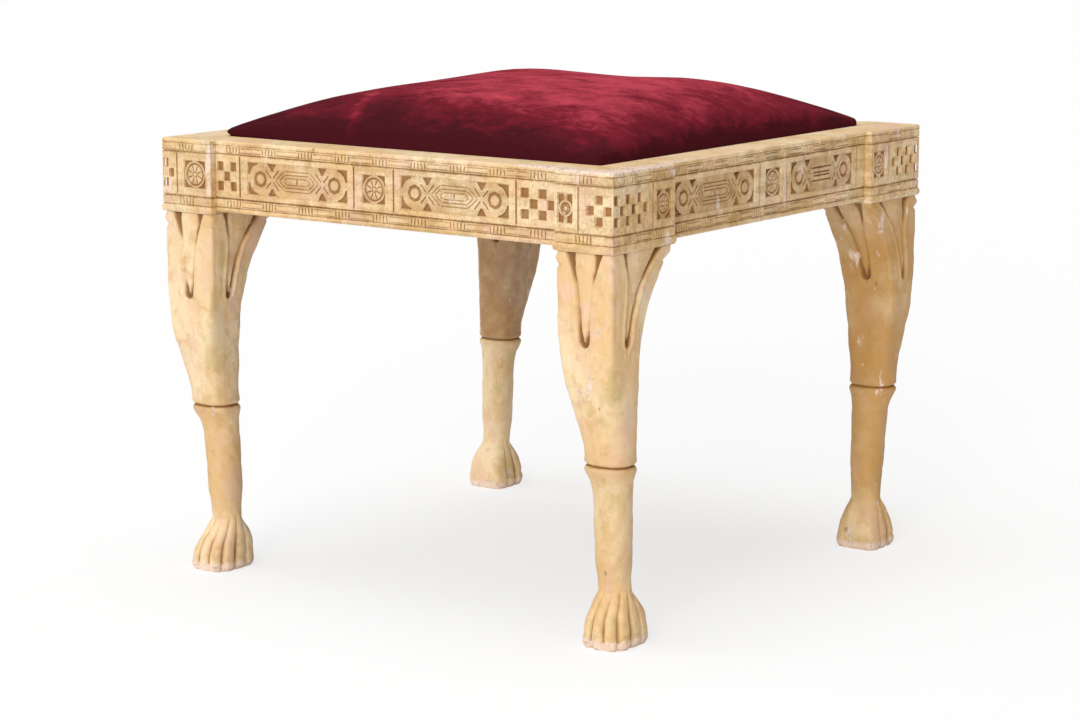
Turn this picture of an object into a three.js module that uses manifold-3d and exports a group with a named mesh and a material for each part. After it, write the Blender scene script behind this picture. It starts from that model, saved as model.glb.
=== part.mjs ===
// Carved stool on four lion legs with a drop-in seat, in millimetres, +Z up.
// The origin lies on the floor under the middle of the frame, and the front faces -Y.
// Every corner is built in its own frame: x and y run inward from the outer corner of its block.
import * as THREE from 'three';
import { mergeVertices } from 'three/addons/utils/BufferGeometryUtils.js';
import Module from 'manifold-3d';

// Whole frame
const frameWidth = 560;
const frameDepth = 575;
const frameHeight = 456;
const jointGap = 0.3;
const cutOverrun = 4;

// Corner blocks and rails
const blockWidth = 66;
const blockDepth = 102;
const apronHeight = 75.6;
const railDrop = 3;
const railSetback = 8;
const seatInset = 46;
const seatRebate = 30;

// Moulding of blocks and rails, counted down from the top edge
const topMouldingHeight = 14;
const friezeHeight = 43.5;
const bandHeight = 8;
const edgeRound = 2.4;
const edgeRoundShare = 0.3;
const quirkHeight = 1.8;
const quirkDepth = 1.6;
const beadReach = 1.3;

// Frieze panels
const squarePanelLength = 42.5;
const frontLongPanelLength = 143;
const sideLongPanelLength = 150;
const panelGap = 5.5;
const frontFriezeShift = -8;
const panelBorder = 5.6;
const grooveWidth = 2.2;
const carvingDepth = 2.2;
const shallowDepth = 1.1;
const checkerCell = 10;
const checkerRows = 3;
const bossRadius = 5.4;
const bossRingRadius = 8.2;
const bossSpacingShare = 0.685;
const cornerSink = 7;
const crossSinkWidth = 11;
const crossSinkHeight = 7.5;
const crossOffset = 15.5;
const lozengeHeight = 21;
const lozengePoint = 13;
const lozengeBarHeight = 3;
const lozengeBarShare = 0.62;
const rosetteRadius = 10.5;
const rosetteRecess = 14;
const rosetteSides = 8;
const ringSides = 10;

// Rail tenons
const railTenonThickness = 12;
const railTenonHeight = 44;
const railTenonLength = 24;

// Legs
const legReveal = 0.5;
const kneeHeight = 172;
const kneeWidth = 47.6;
const kneeDepth = 40.5;
const kneeIn = 38.5;
const kneeGrooveDepth = 1.7;
const kneeGrooveHeight = 3.4;
const kneeCollarHeight = 4;
const legAxisIn = 28.6;
const ankleHeight = 56;
const ankleWidth = 30.5;
const ankleDepth = 26.5;
const ankleIn = 47.8;
const pawWidth = 52;
const pawLength = 60;
const pawIn = 45.3;
const toeGrooveDepth = 3;
const roundSquareness = 2.3;
const pawSquareness = 3;
const toeAngle = Math.PI / 4;
const toesBesideMiddle = 2.5;
const toeRoundPower = 0.7;
const toeFacets = 4;
const heelFacets = 5;
const legTenonDiameter = 26;
const legTenonLength = 36;
const legTenonInX = 28.6;
const legTenonInY = 53;
const tenonFacets = 16;

// Leaf carving at the top of each leg
const leafFoot = 85;
const leafDepth = 3.4;

// Seat ledges, corner braces and screws
const ledgeWidth = 18;
const ledgeHeight = 20;
const braceThickness = 17;
const braceArm = 52;
const screwRadius = 2.2;
const screwHeadRadius = 4.4;
const screwHeadHeight = 2.6;
const screwTipLength = 4;
const screwFacets = 8;
const braceScrewLength = 30;
const ledgeScrewLength = 36;
const ledgeScrewShare = 0.27;

// Drop-in seat
const seatPlay = 1.2;
const coverThickness = 1.5;
const seatRailWidth = 55;
const seatRailThickness = 22;
const seatRailChamfer = 4;
const seatCornerRadius = 7;
const seatTenonLength = 26;
const seatTenonThickness = 8;
const strapWidth = 50;
const strapThickness = 1.6;
const strapBearing = 38;
const strapsEachWay = 3;
const clothThickness = 1;
const dustClothThickness = 0.5;
const dustClothInset = 22;
const clothMargin = 8;
const hemWidth = 30;
const coverRise = 3.6;
const crownHeight = 45;
const crownPower = 3.5;
const crownRootPower = 1 / 1.8;
const coverDrawIn = 2.5;
const arcSteps = 3;
const sideSteps = 7;

// Ring places of the crowned cover, from its edge to its middle, as shares of the half size
const crownRingShares = [1, 0.985, 0.95, 0.88, 0.76, 0.6, 0.42, 0.22];

// Thigh rows: height above the knee, inner side, front, back and outer side, each 0 at the knee and
// 1 at the top, then the squareness of the section
const thighShares = [
  [0.08, 0, 0.12, 0, 0.01, 2.3],
  [0.19, 0.22, 0.4, -0.03, 0.2, 2.7],
  [0.3, 0.41, 0.74, -0.1, 0.5, 3.5],
  [0.4, 0.6, 0.93, -0.16, 0.78, 5],
  [0.5, 0.78, 0.99, -0.2, 0.94, 8],
  [0.6, 0.91, 1, -0.15, 1, 11],
  [0.7, 0.96, 1, 0.01, 1, 12],
  [0.8, 0.98, 1, 0.27, 1, 12],
  [0.9, 1, 1, 0.62, 1, 12],
  [0.96, 1, 1, 0.88, 1, 12],
  [1, 1, 1, 1, 1, 12],
];

// Shank rows: height, width, depth and place of the middle, each 0 at the ankle and 1 at the knee
const shankShares = [
  [0, 0, 0, 0],
  [0.1, -0.02, 0.22, 0.05],
  [0.22, -0.05, 0.49, 0.11],
  [0.42, 0.12, 0.41, 0.23],
  [0.64, 0.24, 0.29, 0.37],
  [0.8, 0.35, 0.33, 0.5],
  [0.9, 0.62, 0.55, 0.72],
  [0.965, 0.95, 0.93, 0.96],
];

// Paw rows: height as a share of the ankle's, then width, length and place of the middle, each 0 at the ankle
// and 1 at the paw, and the share of the toe grooves' depth
const pawShares = [
  [0, 0.88, 0.9, 1, 0.7],
  [0.05, 0.97, 0.97, 1, 0.95],
  [0.14, 1, 1, 1, 1],
  [0.26, 0.9, 0.97, 1, 1],
  [0.4, 0.7, 0.86, 0.85, 0.95],
  [0.56, 0.47, 0.66, 0.55, 0.8],
  [0.72, 0.29, 0.36, 0.28, 0.6],
  [0.88, 0.12, 0.1, 0.08, 0.35],
];

// Outline of the carved hollow between two leaves, from its foot up: height share and half width share
const hollowShares = [[0, 0], [0.05, 0.18], [0.35, 0.26], [0.6, 0.36], [0.82, 0.5], [1, 0.66]];
// Outline of the rounded petal that stands in the hollow
const petalShares = [[0.12, 0], [0.3, 0.12], [0.55, 0.22], [0.8, 0.35], [0.9, 0.27], [0.95, 0]];

// Frieze groove of each corner's two faces, counted inward from the corner
const corners = [
  { name: 'front_left', signX: -1, signY: -1, faceGroove: 20, sideGroove: 65 },
  { name: 'front_right', signX: 1, signY: -1, faceGroove: 39, sideGroove: 65 },
  { name: 'back_right', signX: 1, signY: 1, faceGroove: 20, sideGroove: 65 },
  { name: 'back_left', signX: -1, signY: 1, faceGroove: 39, sideGroove: 65 },
];

// Heights that follow from the sizes above
const blockBottom = frameHeight - apronHeight;
const railBottom = blockBottom + railDrop;
const legTop = blockBottom - jointGap;
const ledgeTop = frameHeight - seatRebate;
const ledgeBottom = ledgeTop - ledgeHeight;
const braceTop = ledgeBottom - jointGap;
const braceBottom = braceTop - braceThickness;
const friezeTop = frameHeight - topMouldingHeight;
const friezeBottom = friezeTop - friezeHeight;
const friezeMiddle = (friezeTop + friezeBottom) / 2;

const library = await Module();
library.setup();

// Materials
function finish(color, roughness, metalness = 0) {
  return new THREE.MeshStandardMaterial({ color, roughness, metalness });
}
const paintedWood = finish(0xdcbd8a, 0.55);
const bareWood = finish(0xb98f5c, 0.7);
const screwSteel = finish(0x8c8a86, 0.35, 0.9);
const velvet = finish(0x6e1428, 0.85);
const juteWebbing = finish(0xa98c5e, 0.9);
const hessianCloth = finish(0x9b7f52, 0.95);
const stuffing = finish(0xe6dfd0, 0.95);
const dustCloth = finish(0x2a2826, 0.9);

// Solids and geometry
function merged(geometry) {
  const bare = geometry.clone();
  bare.deleteAttribute('normal');
  bare.deleteAttribute('uv');
  return mergeVertices(bare);
}

function solidOf(geometry) {
  const clean = merged(geometry);
  const vertProperties = new Float32Array(clean.attributes.position.array);
  const triVerts = new Uint32Array(clean.index.array);
  return new library.Manifold(new library.Mesh({ numProp: 3, vertProperties, triVerts }));
}

function geometryOf(solid) {
  const mesh = solid.getMesh();
  const geometry = new THREE.BufferGeometry();
  geometry.setAttribute('position', new THREE.BufferAttribute(new Float32Array(mesh.vertProperties), 3));
  geometry.setIndex(new THREE.BufferAttribute(new Uint32Array(mesh.triVerts), 1));
  return geometry;
}

function reversed(geometry) {
  const index = geometry.index.array;
  for (let i = 0; i < index.length; i += 3) [index[i], index[i + 1]] = [index[i + 1], index[i]];
  return geometry;
}

function mirrored(geometry, signX, signY) {
  const copy = merged(geometry).scale(signX, signY, 1);
  return signX * signY < 0 ? reversed(copy) : copy;
}

// Swaps x and y, which turns what is made for a front face into the same for a side face
function transposed(geometry) {
  const copy = merged(geometry);
  const position = copy.attributes.position;
  for (let i = 0; i < position.count; i += 1) {
    position.setXYZ(i, position.getY(i), position.getX(i), position.getZ(i));
  }
  return reversed(copy);
}

function joined(solids) {
  return solids.reduce((sum, solid) => sum.add(solid));
}

function boxGeometry(low, high) {
  const size = high.map((value, i) => value - low[i]);
  const middle = high.map((value, i) => (value + low[i]) / 2);
  return new THREE.BoxGeometry(...size).translate(...middle);
}

function boxSolid(low, high) {
  return solidOf(boxGeometry(low, high));
}

function shapeOf(points, holes = []) {
  const outline = points.map(([x, y]) => new THREE.Vector2(x, y));
  const shape = new THREE.Shape(THREE.ShapeUtils.isClockWise(outline) ? outline.reverse() : outline);
  for (const hole of holes) shape.holes.push(new THREE.Path(hole.map(([x, y]) => new THREE.Vector2(x, y))));
  return shape;
}

// Outline in x and z, extruded along y
function prismAlongY(shape, from, to) {
  const geometry = new THREE.ExtrudeGeometry(shape, { depth: to - from, bevelEnabled: false });
  return geometry.rotateX(Math.PI / 2).translate(0, to, 0);
}

// Outline in y and z, extruded along x
function prismAlongX(shape, from, to) {
  return new THREE.ExtrudeGeometry(shape, { depth: to - from, bevelEnabled: false })
    .rotateX(Math.PI / 2).rotateZ(Math.PI / 2).translate(from, 0, 0);
}

// Outline in x and y, extruded upward
function prismAlongZ(shape, from, to) {
  return new THREE.ExtrudeGeometry(shape, { depth: to - from, bevelEnabled: false }).translate(0, 0, from);
}

function circlePoints(middleX, middleY, radius, sides) {
  return Array.from({ length: sides }, (unused, i) => {
    const angle = (2 * Math.PI * (i + 0.5)) / sides;
    return [middleX + radius * Math.cos(angle), middleY + radius * Math.sin(angle)];
  });
}

// Closed skin over a stack of rings with equal point counts, closed by a fan at each end
function loftGeometry(rings) {
  const count = rings[0].length;
  const points = rings.flat();
  const middle = (ring) => [0, 1, 2].map((axis) => ring.reduce((sum, point) => sum + point[axis], 0) / count);
  points.push(middle(rings[0]), middle(rings[rings.length - 1]));
  const [lowCentre, highCentre] = [points.length - 2, points.length - 1];
  const faces = [];
  for (let row = 0; row + 1 < rings.length; row += 1) {
    for (let i = 0; i < count; i += 1) {
      const next = (i + 1) % count;
      const [low, high] = [row * count, (row + 1) * count];
      const [a, b, c, d] = [low + i, low + next, high + next, high + i];
      faces.push(a, b, c, a, c, d);
    }
  }
  const lastRow = (rings.length - 1) * count;
  for (let i = 0; i < count; i += 1) {
    const next = (i + 1) % count;
    faces.push(lowCentre, next, i, highCentre, lastRow + i, lastRow + next);
  }
  const geometry = new THREE.BufferGeometry();
  geometry.setAttribute('position', new THREE.Float32BufferAttribute(points.flat(), 3));
  geometry.setIndex(faces);
  return geometry;
}

function mix(from, to, share) {
  return from + (to - from) * share;
}

// Leg sections, in the corner's frame
function kneeSection() {
  return { width: kneeWidth, depth: kneeDepth, inX: legAxisIn, inY: kneeIn };
}

function topSection() {
  return {
    width: blockWidth - 2 * legReveal,
    depth: blockDepth - 2 * legReveal,
    inX: blockWidth / 2,
    inY: blockDepth / 2,
  };
}

function edges(section) {
  return {
    outer: section.inX - section.width / 2, inner: section.inX + section.width / 2,
    front: section.inY - section.depth / 2, back: section.inY + section.depth / 2,
  };
}

function thighSection([heightShare, innerShare, frontShare, backShare, outerShare, square]) {
  const [knee, top] = [edges(kneeSection()), edges(topSection())];
  const outer = mix(knee.outer, top.outer, outerShare);
  const inner = mix(knee.inner, top.inner, innerShare);
  const front = mix(knee.front, top.front, frontShare);
  const back = mix(knee.back, top.back, backShare);
  const z = mix(kneeHeight, legTop, heightShare);
  const [inX, inY] = [(inner + outer) / 2, (front + back) / 2];
  return { z, width: inner - outer, depth: back - front, inX, inY, square };
}

function kneeSections() {
  const ring = (z, cut) => ({
    z,
    width: kneeWidth - 2 * cut,
    depth: kneeDepth - 2 * cut,
    inX: legAxisIn,
    inY: kneeIn,
    square: roundSquareness,
  });
  const [low, high] = [kneeHeight - kneeGrooveHeight / 2, kneeHeight + kneeGrooveHeight / 2];
  return [ring(low - kneeCollarHeight, 0), ring(low, 0), ring(kneeHeight, kneeGrooveDepth), ring(high, 0)];
}

function shankSection([heightShare, widthShare, depthShare, placeShare]) {
  return {
    z: mix(ankleHeight, kneeHeight - kneeGrooveHeight / 2 - kneeCollarHeight, heightShare),
    width: mix(ankleWidth, kneeWidth, widthShare),
    depth: mix(ankleDepth, kneeDepth, depthShare),
    inX: legAxisIn,
    inY: mix(ankleIn, kneeIn, placeShare),
    square: roundSquareness,
  };
}

function pawSection([heightShare, widthShare, lengthShare, placeShare, grooveShare]) {
  return {
    z: ankleHeight * heightShare,
    width: mix(ankleWidth, pawWidth, widthShare),
    depth: mix(ankleDepth, pawLength, lengthShare),
    inX: legAxisIn,
    inY: mix(ankleIn, pawIn, placeShare),
    square: pawSquareness,
    groove: toeGrooveDepth * grooveShare,
  };
}

function legSections() {
  return [
    ...pawShares.map(pawSection),
    ...shankShares.map(shankSection),
    ...kneeSections(),
    ...thighShares.map(thighSection),
  ];
}

// Angles around a leg, counted in toes from its front: close together over the toes, wide apart at the heel
function ringTurns() {
  const front = toesBesideMiddle * toeFacets;
  const turns = Array.from({ length: 2 * front + 1 }, (unused, i) => (i - front) / toeFacets);
  const heel = (2 * Math.PI) / toeAngle - 2 * toesBesideMiddle;
  const heelShare = (i) => (i + 1) / (heelFacets + 1);
  const back = Array.from({ length: heelFacets }, (unused, i) => toesBesideMiddle + heel * heelShare(i));
  return [...turns, ...back];
}

// Depth share of the toe grooves: full between two toes and none on a toe or at the heel
function toeGrooveShare(turn) {
  return turn > toesBesideMiddle ? 0 : 1 - Math.abs(Math.cos(Math.PI * turn)) ** toeRoundPower;
}

function sectionRing(section, inset = 0) {
  const { width, depth, inX, inY, square, z, groove = 0 } = section;
  const reach = (value) => Math.sign(value) * Math.abs(value) ** (2 / square);
  return ringTurns().map((turn) => {
    const angle = turn * toeAngle;
    const cut = 1 - (groove * toeGrooveShare(turn)) / (width / 2);
    const x = (width / 2 - inset) * reach(Math.sin(angle)) * cut;
    const y = (depth / 2 - inset) * reach(-Math.cos(angle)) * cut;
    return [inX + x, inY + y, z];
  });
}

// Extents of the thigh at one height
function thighAt(z) {
  const sections = thighShares.map(thighSection);
  const found = sections.findIndex((section) => section.z > z);
  const above = found < 0 ? sections.length - 1 : Math.max(found, 1);
  const [low, high] = [sections[above - 1], sections[above]];
  const share = (z - low.z) / (high.z - low.z);
  const between = (key) => mix(low[key], high[key], share);
  return { width: between('width'), depth: between('depth'), inX: between('inX'), inY: between('inY') };
}

// Leaf outline on one face: a left half going up and a right half coming down, in face place and height
function leafOutline(shares, place, size, topOverrun) {
  const rise = (share) => legTop - leafFoot + leafFoot * share;
  const point = (share, side) => {
    const section = thighAt(Math.min(rise(share[0]), legTop));
    return [section[place] + (side * share[1] * section[size]) / 2, rise(share[0])];
  };
  const left = shares.filter((share) => share[1] > 0).map((share) => point(share, -1));
  const right = shares.filter((share) => share[1] > 0).map((share) => point(share, 1)).reverse();
  const ends = shares.filter((share) => share[1] === 0).map((share) => point(share, 0));
  const cap = topOverrun > 0
    ? [[left[left.length - 1][0], legTop + topOverrun], [right[0][0], legTop + topOverrun]] : ends.slice(1);
  return [ends[0], ...left, ...cap, ...right];
}

// Hollows between the leaves on all four faces, as deep as the leaves are raised
function leafHollows() {
  const hollow = (place, size) => shapeOf(
    leafOutline(hollowShares, place, size, cutOverrun), [leafOutline(petalShares, place, size, 0)],
  );
  const [acrossX, acrossY] = [hollow('inX', 'width'), hollow('inY', 'depth')];
  const middle = topSection();
  const cutters = [
    prismAlongY(acrossX, -cutOverrun, kneeIn),
    prismAlongY(acrossX, kneeIn, blockDepth + cutOverrun),
    prismAlongX(acrossY, -cutOverrun, middle.inX),
    prismAlongX(acrossY, middle.inX, blockWidth + cutOverrun),
  ];
  const core = thighShares.map(thighSection).map((section) => sectionRing(section, leafDepth));
  core.push(core[core.length - 1].map(([x, y, z]) => [x, y, z + 2 * cutOverrun]));
  return joined(cutters.map(solidOf)).subtract(solidOf(loftGeometry(core)));
}

function legGeometry() {
  const body = solidOf(loftGeometry(legSections().map((section) => sectionRing(section))));
  const tenon = new THREE.CylinderGeometry(
    legTenonDiameter / 2, legTenonDiameter / 2, legTenonLength + cutOverrun, tenonFacets,
  ).rotateX(Math.PI / 2).translate(legTenonInX, legTenonInY, legTop + (legTenonLength - cutOverrun) / 2);
  return geometryOf(body.subtract(leafHollows()).add(solidOf(tenon)));
}

// Moulding outline: how far each line stands out from the frieze, and how far it lies under the top
function mouldingLines(height) {
  const low = topMouldingHeight + friezeHeight;
  const bead = low + quirkHeight + bandHeight;
  return [
    [-edgeRound, 0],
    [-edgeRound * edgeRoundShare, edgeRound * edgeRoundShare],
    [0, edgeRound],
    [0, topMouldingHeight - quirkHeight],
    [-quirkDepth, topMouldingHeight - quirkHeight / 2],
    [0, topMouldingHeight],
    [0, low],
    [-quirkDepth, low + quirkHeight / 2],
    [0, low + quirkHeight],
    [0, bead],
    [beadReach, Math.min(bead + beadReach, height - quirkDepth)],
    [beadReach, height - quirkDepth / 2],
    [-quirkDepth, height],
  ];
}

// Block with the moulding carried round all four sides, swollen by grow
function mouldedBlock(low, high, grow) {
  const rings = mouldingLines(apronHeight).map(([reach, drop]) => {
    const out = reach + grow;
    const z = frameHeight - drop;
    return [
      [low[0] - out, low[1] - out, z], [low[0] - out, high[1] + out, z],
      [high[0] + out, high[1] + out, z], [high[0] + out, low[1] - out, z],
    ];
  });
  return solidOf(loftGeometry(rings));
}

// Carved pocket in a front face that lies at y = face, from an outline in place and height
function pocket(face, depth, points, holes = []) {
  return prismAlongY(shapeOf(points, holes), face - cutOverrun, face + depth);
}

function rectanglePoints(left, right, bottom, top) {
  return [[left, bottom], [right, bottom], [right, top], [left, top]];
}

function panelGroove(face, place) {
  const points = rectanglePoints(place - grooveWidth / 2, place + grooveWidth / 2, friezeBottom, friezeTop);
  return pocket(face, carvingDepth, points);
}

// Sunk cells of a chequered field, from one place along the face to another
function checkerPockets(face, from, to, startsSunk) {
  const columns = Math.floor((Math.abs(to - from) + checkerCell / 4) / checkerCell);
  const direction = Math.sign(to - from);
  const pockets = [];
  for (let column = 0; column < columns; column += 1) {
    for (let row = 0; row < checkerRows; row += 1) {
      if ((column + row + (startsSunk ? 0 : 1)) % 2 === 0) {
        const near = from + direction * (column * checkerCell + shallowDepth / 4);
        const far = from + direction * ((column + 1) * checkerCell - shallowDepth / 4);
        const bottom = friezeMiddle + (row - checkerRows / 2) * checkerCell + shallowDepth / 4;
        const top = bottom + checkerCell - shallowDepth / 2;
        const cell = rectanglePoints(Math.min(near, far), Math.max(near, far), bottom, top);
        pockets.push(pocket(face, carvingDepth, cell));
      }
    }
  }
  return pockets;
}

// Square recess with a round rosette standing in it
function rosettePocket(face, place, left = place - rosetteRecess, right = place + rosetteRecess) {
  const outline = rectanglePoints(left, right, friezeMiddle - rosetteRecess, friezeMiddle + rosetteRecess);
  const rosette = circlePoints(place, friezeMiddle, rosetteRadius, rosetteSides);
  return [pocket(face, carvingDepth, outline, [rosette])];
}

// Long panel: two ringed bosses in strap loops that cross and enclose a lozenge with a raised bar
function longPanelPockets(face, middle, length) {
  const reachX = length / 2 - panelBorder;
  const reachZ = friezeHeight / 2 - panelBorder;
  const bossX = (length * bossSpacingShare) / 2;
  const pockets = [];
  for (const side of [-1, 1]) {
    const boss = middle + side * bossX;
    const cross = middle + side * (bossX - crossOffset);
    pockets.push(pocket(
      face, carvingDepth, circlePoints(boss, friezeMiddle, bossRingRadius, ringSides),
      [circlePoints(boss, friezeMiddle, bossRadius, ringSides)],
    ));
    for (const up of [-1, 1]) {
      const edge = friezeMiddle + up * reachZ;
      const end = middle + side * reachX;
      pockets.push(pocket(face, carvingDepth, [
        [end, edge], [end - side * cornerSink, edge], [end, edge - up * cornerSink],
      ]));
      pockets.push(pocket(face, carvingDepth, [
        [cross - crossSinkWidth / 2, edge],
        [cross + crossSinkWidth / 2, edge],
        [cross, edge - up * crossSinkHeight],
      ]));
    }
  }
  const halfLozenge = bossX - crossOffset - crossSinkWidth / 4;
  const [flank, rise] = [halfLozenge - lozengePoint, lozengeHeight / 2];
  const bar = rectanglePoints(
    middle - flank * lozengeBarShare, middle + flank * lozengeBarShare,
    friezeMiddle - lozengeBarHeight / 2, friezeMiddle + lozengeBarHeight / 2,
  );
  pockets.push(pocket(face, shallowDepth, [
    [middle - halfLozenge, friezeMiddle],
    [middle - flank, friezeMiddle - rise],
    [middle + flank, friezeMiddle - rise],
    [middle + halfLozenge, friezeMiddle],
    [middle + flank, friezeMiddle + rise],
    [middle - flank, friezeMiddle + rise],
  ], [bar]));
  return pockets;
}

// Carving of one face of a block, with the chequer next to the corner and the rosette next to the rail
function blockFaceCarving(length, groove) {
  const checkerEnd = groove - grooveWidth / 2 - panelBorder / 2;
  const rosettePlace = (groove + length) / 2;
  const half = Math.min(rosetteRecess, (length - groove) / 2 - panelBorder / 2);
  return [
    panelGroove(0, groove),
    ...checkerPockets(0, checkerEnd, panelBorder, true),
    ...rosettePocket(0, rosettePlace, rosettePlace - half, rosettePlace + half),
  ];
}

// Mortise for a rail tenon, in the face that the rail butts against
function railMortise(middleOfRail, blockEnd) {
  const half = railTenonThickness / 2 + jointGap;
  const [bottom, top] = railTenonHeights();
  return boxSolid(
    [blockEnd - railTenonLength - jointGap, middleOfRail - half, bottom - jointGap],
    [blockEnd + cutOverrun, middleOfRail + half, top + jointGap],
  );
}

function railTenonHeights() {
  const middle = (railBottom + frameHeight) / 2;
  return [middle - railTenonHeight / 2, middle + railTenonHeight / 2];
}

function legMortise() {
  const radius = legTenonDiameter / 2 + jointGap;
  return new THREE.CylinderGeometry(radius, radius, legTenonLength + cutOverrun + jointGap, tenonFacets)
    .rotateX(Math.PI / 2)
    .translate(legTenonInX, legTenonInY, blockBottom + (legTenonLength + jointGap - cutOverrun) / 2);
}

function blockGeometry({ faceGroove, sideGroove }) {
  const railMiddle = (railSetback + seatInset) / 2;
  const proud = [
    [[blockWidth, railSetback - jointGap], [blockWidth + cutOverrun, blockDepth + cutOverrun]],
    [[railSetback - jointGap, blockDepth], [blockWidth + cutOverrun, blockDepth + cutOverrun]],
  ].map(([low, high]) => boxSolid([...low, blockBottom - cutOverrun], [...high, frameHeight + cutOverrun]));
  const core = boxSolid([railSetback, railSetback, blockBottom], [blockWidth, blockDepth, frameHeight]);
  const seatNotch = boxSolid(
    [seatInset, seatInset, ledgeTop],
    [blockWidth + cutOverrun, blockDepth + cutOverrun, frameHeight + cutOverrun],
  );
  const sideCarving = blockFaceCarving(blockDepth, sideGroove).map(transposed);
  const carving = [...blockFaceCarving(blockWidth, faceGroove), ...sideCarving];
  const sideMortise = solidOf(transposed(geometryOf(railMortise(railMiddle, blockDepth))));
  const body = mouldedBlock([0, 0], [blockWidth, blockDepth], 0).subtract(joined(proud)).add(core);
  const mortises = [railMortise(railMiddle, blockWidth), sideMortise, solidOf(legMortise())];
  return geometryOf(body.subtract(joined([seatNotch, ...mortises, ...carving.map(solidOf)])));
}

// Rail along x, centred on x = 0, its outer side at y = 0, with the block ends coped out of it
function railGeometry({ span, blockEnd, longPanel, shift }) {
  const visible = span - 2 * blockEnd;
  const height = frameHeight - railBottom;
  const outer = mouldingLines(height).map(([reach, drop]) => [railSetback - reach, frameHeight - drop]);
  const section = [...outer, [seatInset, railBottom], [seatInset, frameHeight]];
  const body = solidOf(prismAlongX(shapeOf(section), -visible / 2 + jointGap, visible / 2 - jointGap));
  const blocks = [-1, 1].map((side) => {
    const ends = [(side * span) / 2, side * (span / 2 - blockEnd)];
    return mouldedBlock([Math.min(...ends), 0], [Math.max(...ends), blockDepth + blockWidth], jointGap);
  });
  const half = squarePanelLength / 2;
  const longMiddle = half + panelGap + longPanel / 2;
  const longEnd = longMiddle + longPanel / 2;
  const grooves = [half, longEnd]
    .flatMap((place) => [-1, 1].map((side) => shift + side * (place + panelGap / 2)))
    .filter((place) => Math.abs(place) < visible / 2 - grooveWidth);
  const carving = [
    ...grooves.map((place) => panelGroove(railSetback, place)),
    ...rosettePocket(railSetback, shift),
    ...[-1, 1].flatMap((side) => longPanelPockets(railSetback, shift + side * longMiddle, longPanel)),
    ...[-1, 1].flatMap((side) => checkerPockets(
      railSetback,
      shift + side * (longEnd + panelGap + panelBorder / 2),
      side * (visible / 2 - shallowDepth),
      true,
    )),
  ];
  const railMiddle = (railSetback + seatInset) / 2;
  const [bottom, top] = railTenonHeights();
  const tenons = [-1, 1].map((side) => {
    const ends = [side * (visible / 2 - cutOverrun), side * (visible / 2 + railTenonLength)];
    return boxSolid(
      [Math.min(...ends), railMiddle - railTenonThickness / 2, bottom],
      [Math.max(...ends), railMiddle + railTenonThickness / 2, top],
    );
  });
  const ledgeMiddle = (ledgeTop + ledgeBottom) / 2;
  const screwHoles = ledgeScrewPlaces(visible).map((place) => solidOf(
    screwHole(ledgeScrewLength).rotateX(-Math.PI / 2).translate(place, ledgeScrewHead(), ledgeMiddle),
  ));
  const cuts = joined([...blocks, ...carving.map(solidOf), ...screwHoles]);
  return geometryOf(body.subtract(cuts).add(joined(tenons)));
}

function ledgeScrewPlaces(visible) {
  return [-visible * ledgeScrewShare, visible * ledgeScrewShare];
}

function ledgeScrewHead() {
  return seatInset + jointGap + ledgeWidth;
}

// Screw along -z with the top of its head at z = 0
function screwGeometry(length) {
  const profile = [
    [0, -length],
    [screwRadius, -length + screwTipLength],
    [screwRadius, -screwHeadHeight],
    [screwHeadRadius, 0],
    [0, 0],
  ].map(([x, y]) => new THREE.Vector2(x, y));
  return new THREE.LatheGeometry(profile, screwFacets).rotateX(Math.PI / 2);
}

function screwHole(screwLength) {
  const length = screwLength + jointGap;
  const radius = screwRadius + jointGap;
  return new THREE.CylinderGeometry(radius, radius, length + cutOverrun, screwFacets)
    .rotateX(Math.PI / 2).translate(0, 0, (cutOverrun - length) / 2);
}

// Countersink for the head of a screw along -z
function screwSink() {
  const head = screwHeadRadius + jointGap;
  const profile = [
    [0, -screwHeadHeight - jointGap], [screwRadius + jointGap, -screwHeadHeight - jointGap], [head, 0],
    [head, cutOverrun], [0, cutOverrun],
  ].map(([x, y]) => new THREE.Vector2(x, y));
  return new THREE.LatheGeometry(profile, screwFacets).rotateX(Math.PI / 2);
}

// Batten along x on the inner side of a rail, which carries the seat
function ledgeGeometry(visible) {
  const low = [-visible / 2 + jointGap, seatInset + jointGap, ledgeBottom];
  const high = [visible / 2 - jointGap, seatInset + jointGap + ledgeWidth, ledgeTop];
  const height = (ledgeTop + ledgeBottom) / 2;
  const railHoles = ledgeScrewPlaces(visible).flatMap(
    (place) => [screwHole(ledgeScrewLength), screwSink()].map(
      (cutter) => cutter.rotateX(-Math.PI / 2).translate(place, ledgeScrewHead(), height),
    ),
  );
  const armMiddle = visible / 2 - braceArm / 2;
  const acrossLedge = seatInset + jointGap + ledgeWidth / 2;
  const braceHoles = [-armMiddle, armMiddle].map(
    (place) => screwHole(braceScrewLength).rotateX(Math.PI).translate(place, acrossLedge, braceBottom),
  );
  return geometryOf(boxSolid(low, high).subtract(joined([...railHoles, ...braceHoles].map(solidOf))));
}

// Places of the two screws of a corner brace, in the corner's frame
function braceScrewPlaces() {
  const acrossLedge = seatInset + jointGap + ledgeWidth / 2;
  return [[blockWidth + braceArm / 2, acrossLedge], [acrossLedge, blockDepth + braceArm / 2]];
}

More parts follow.
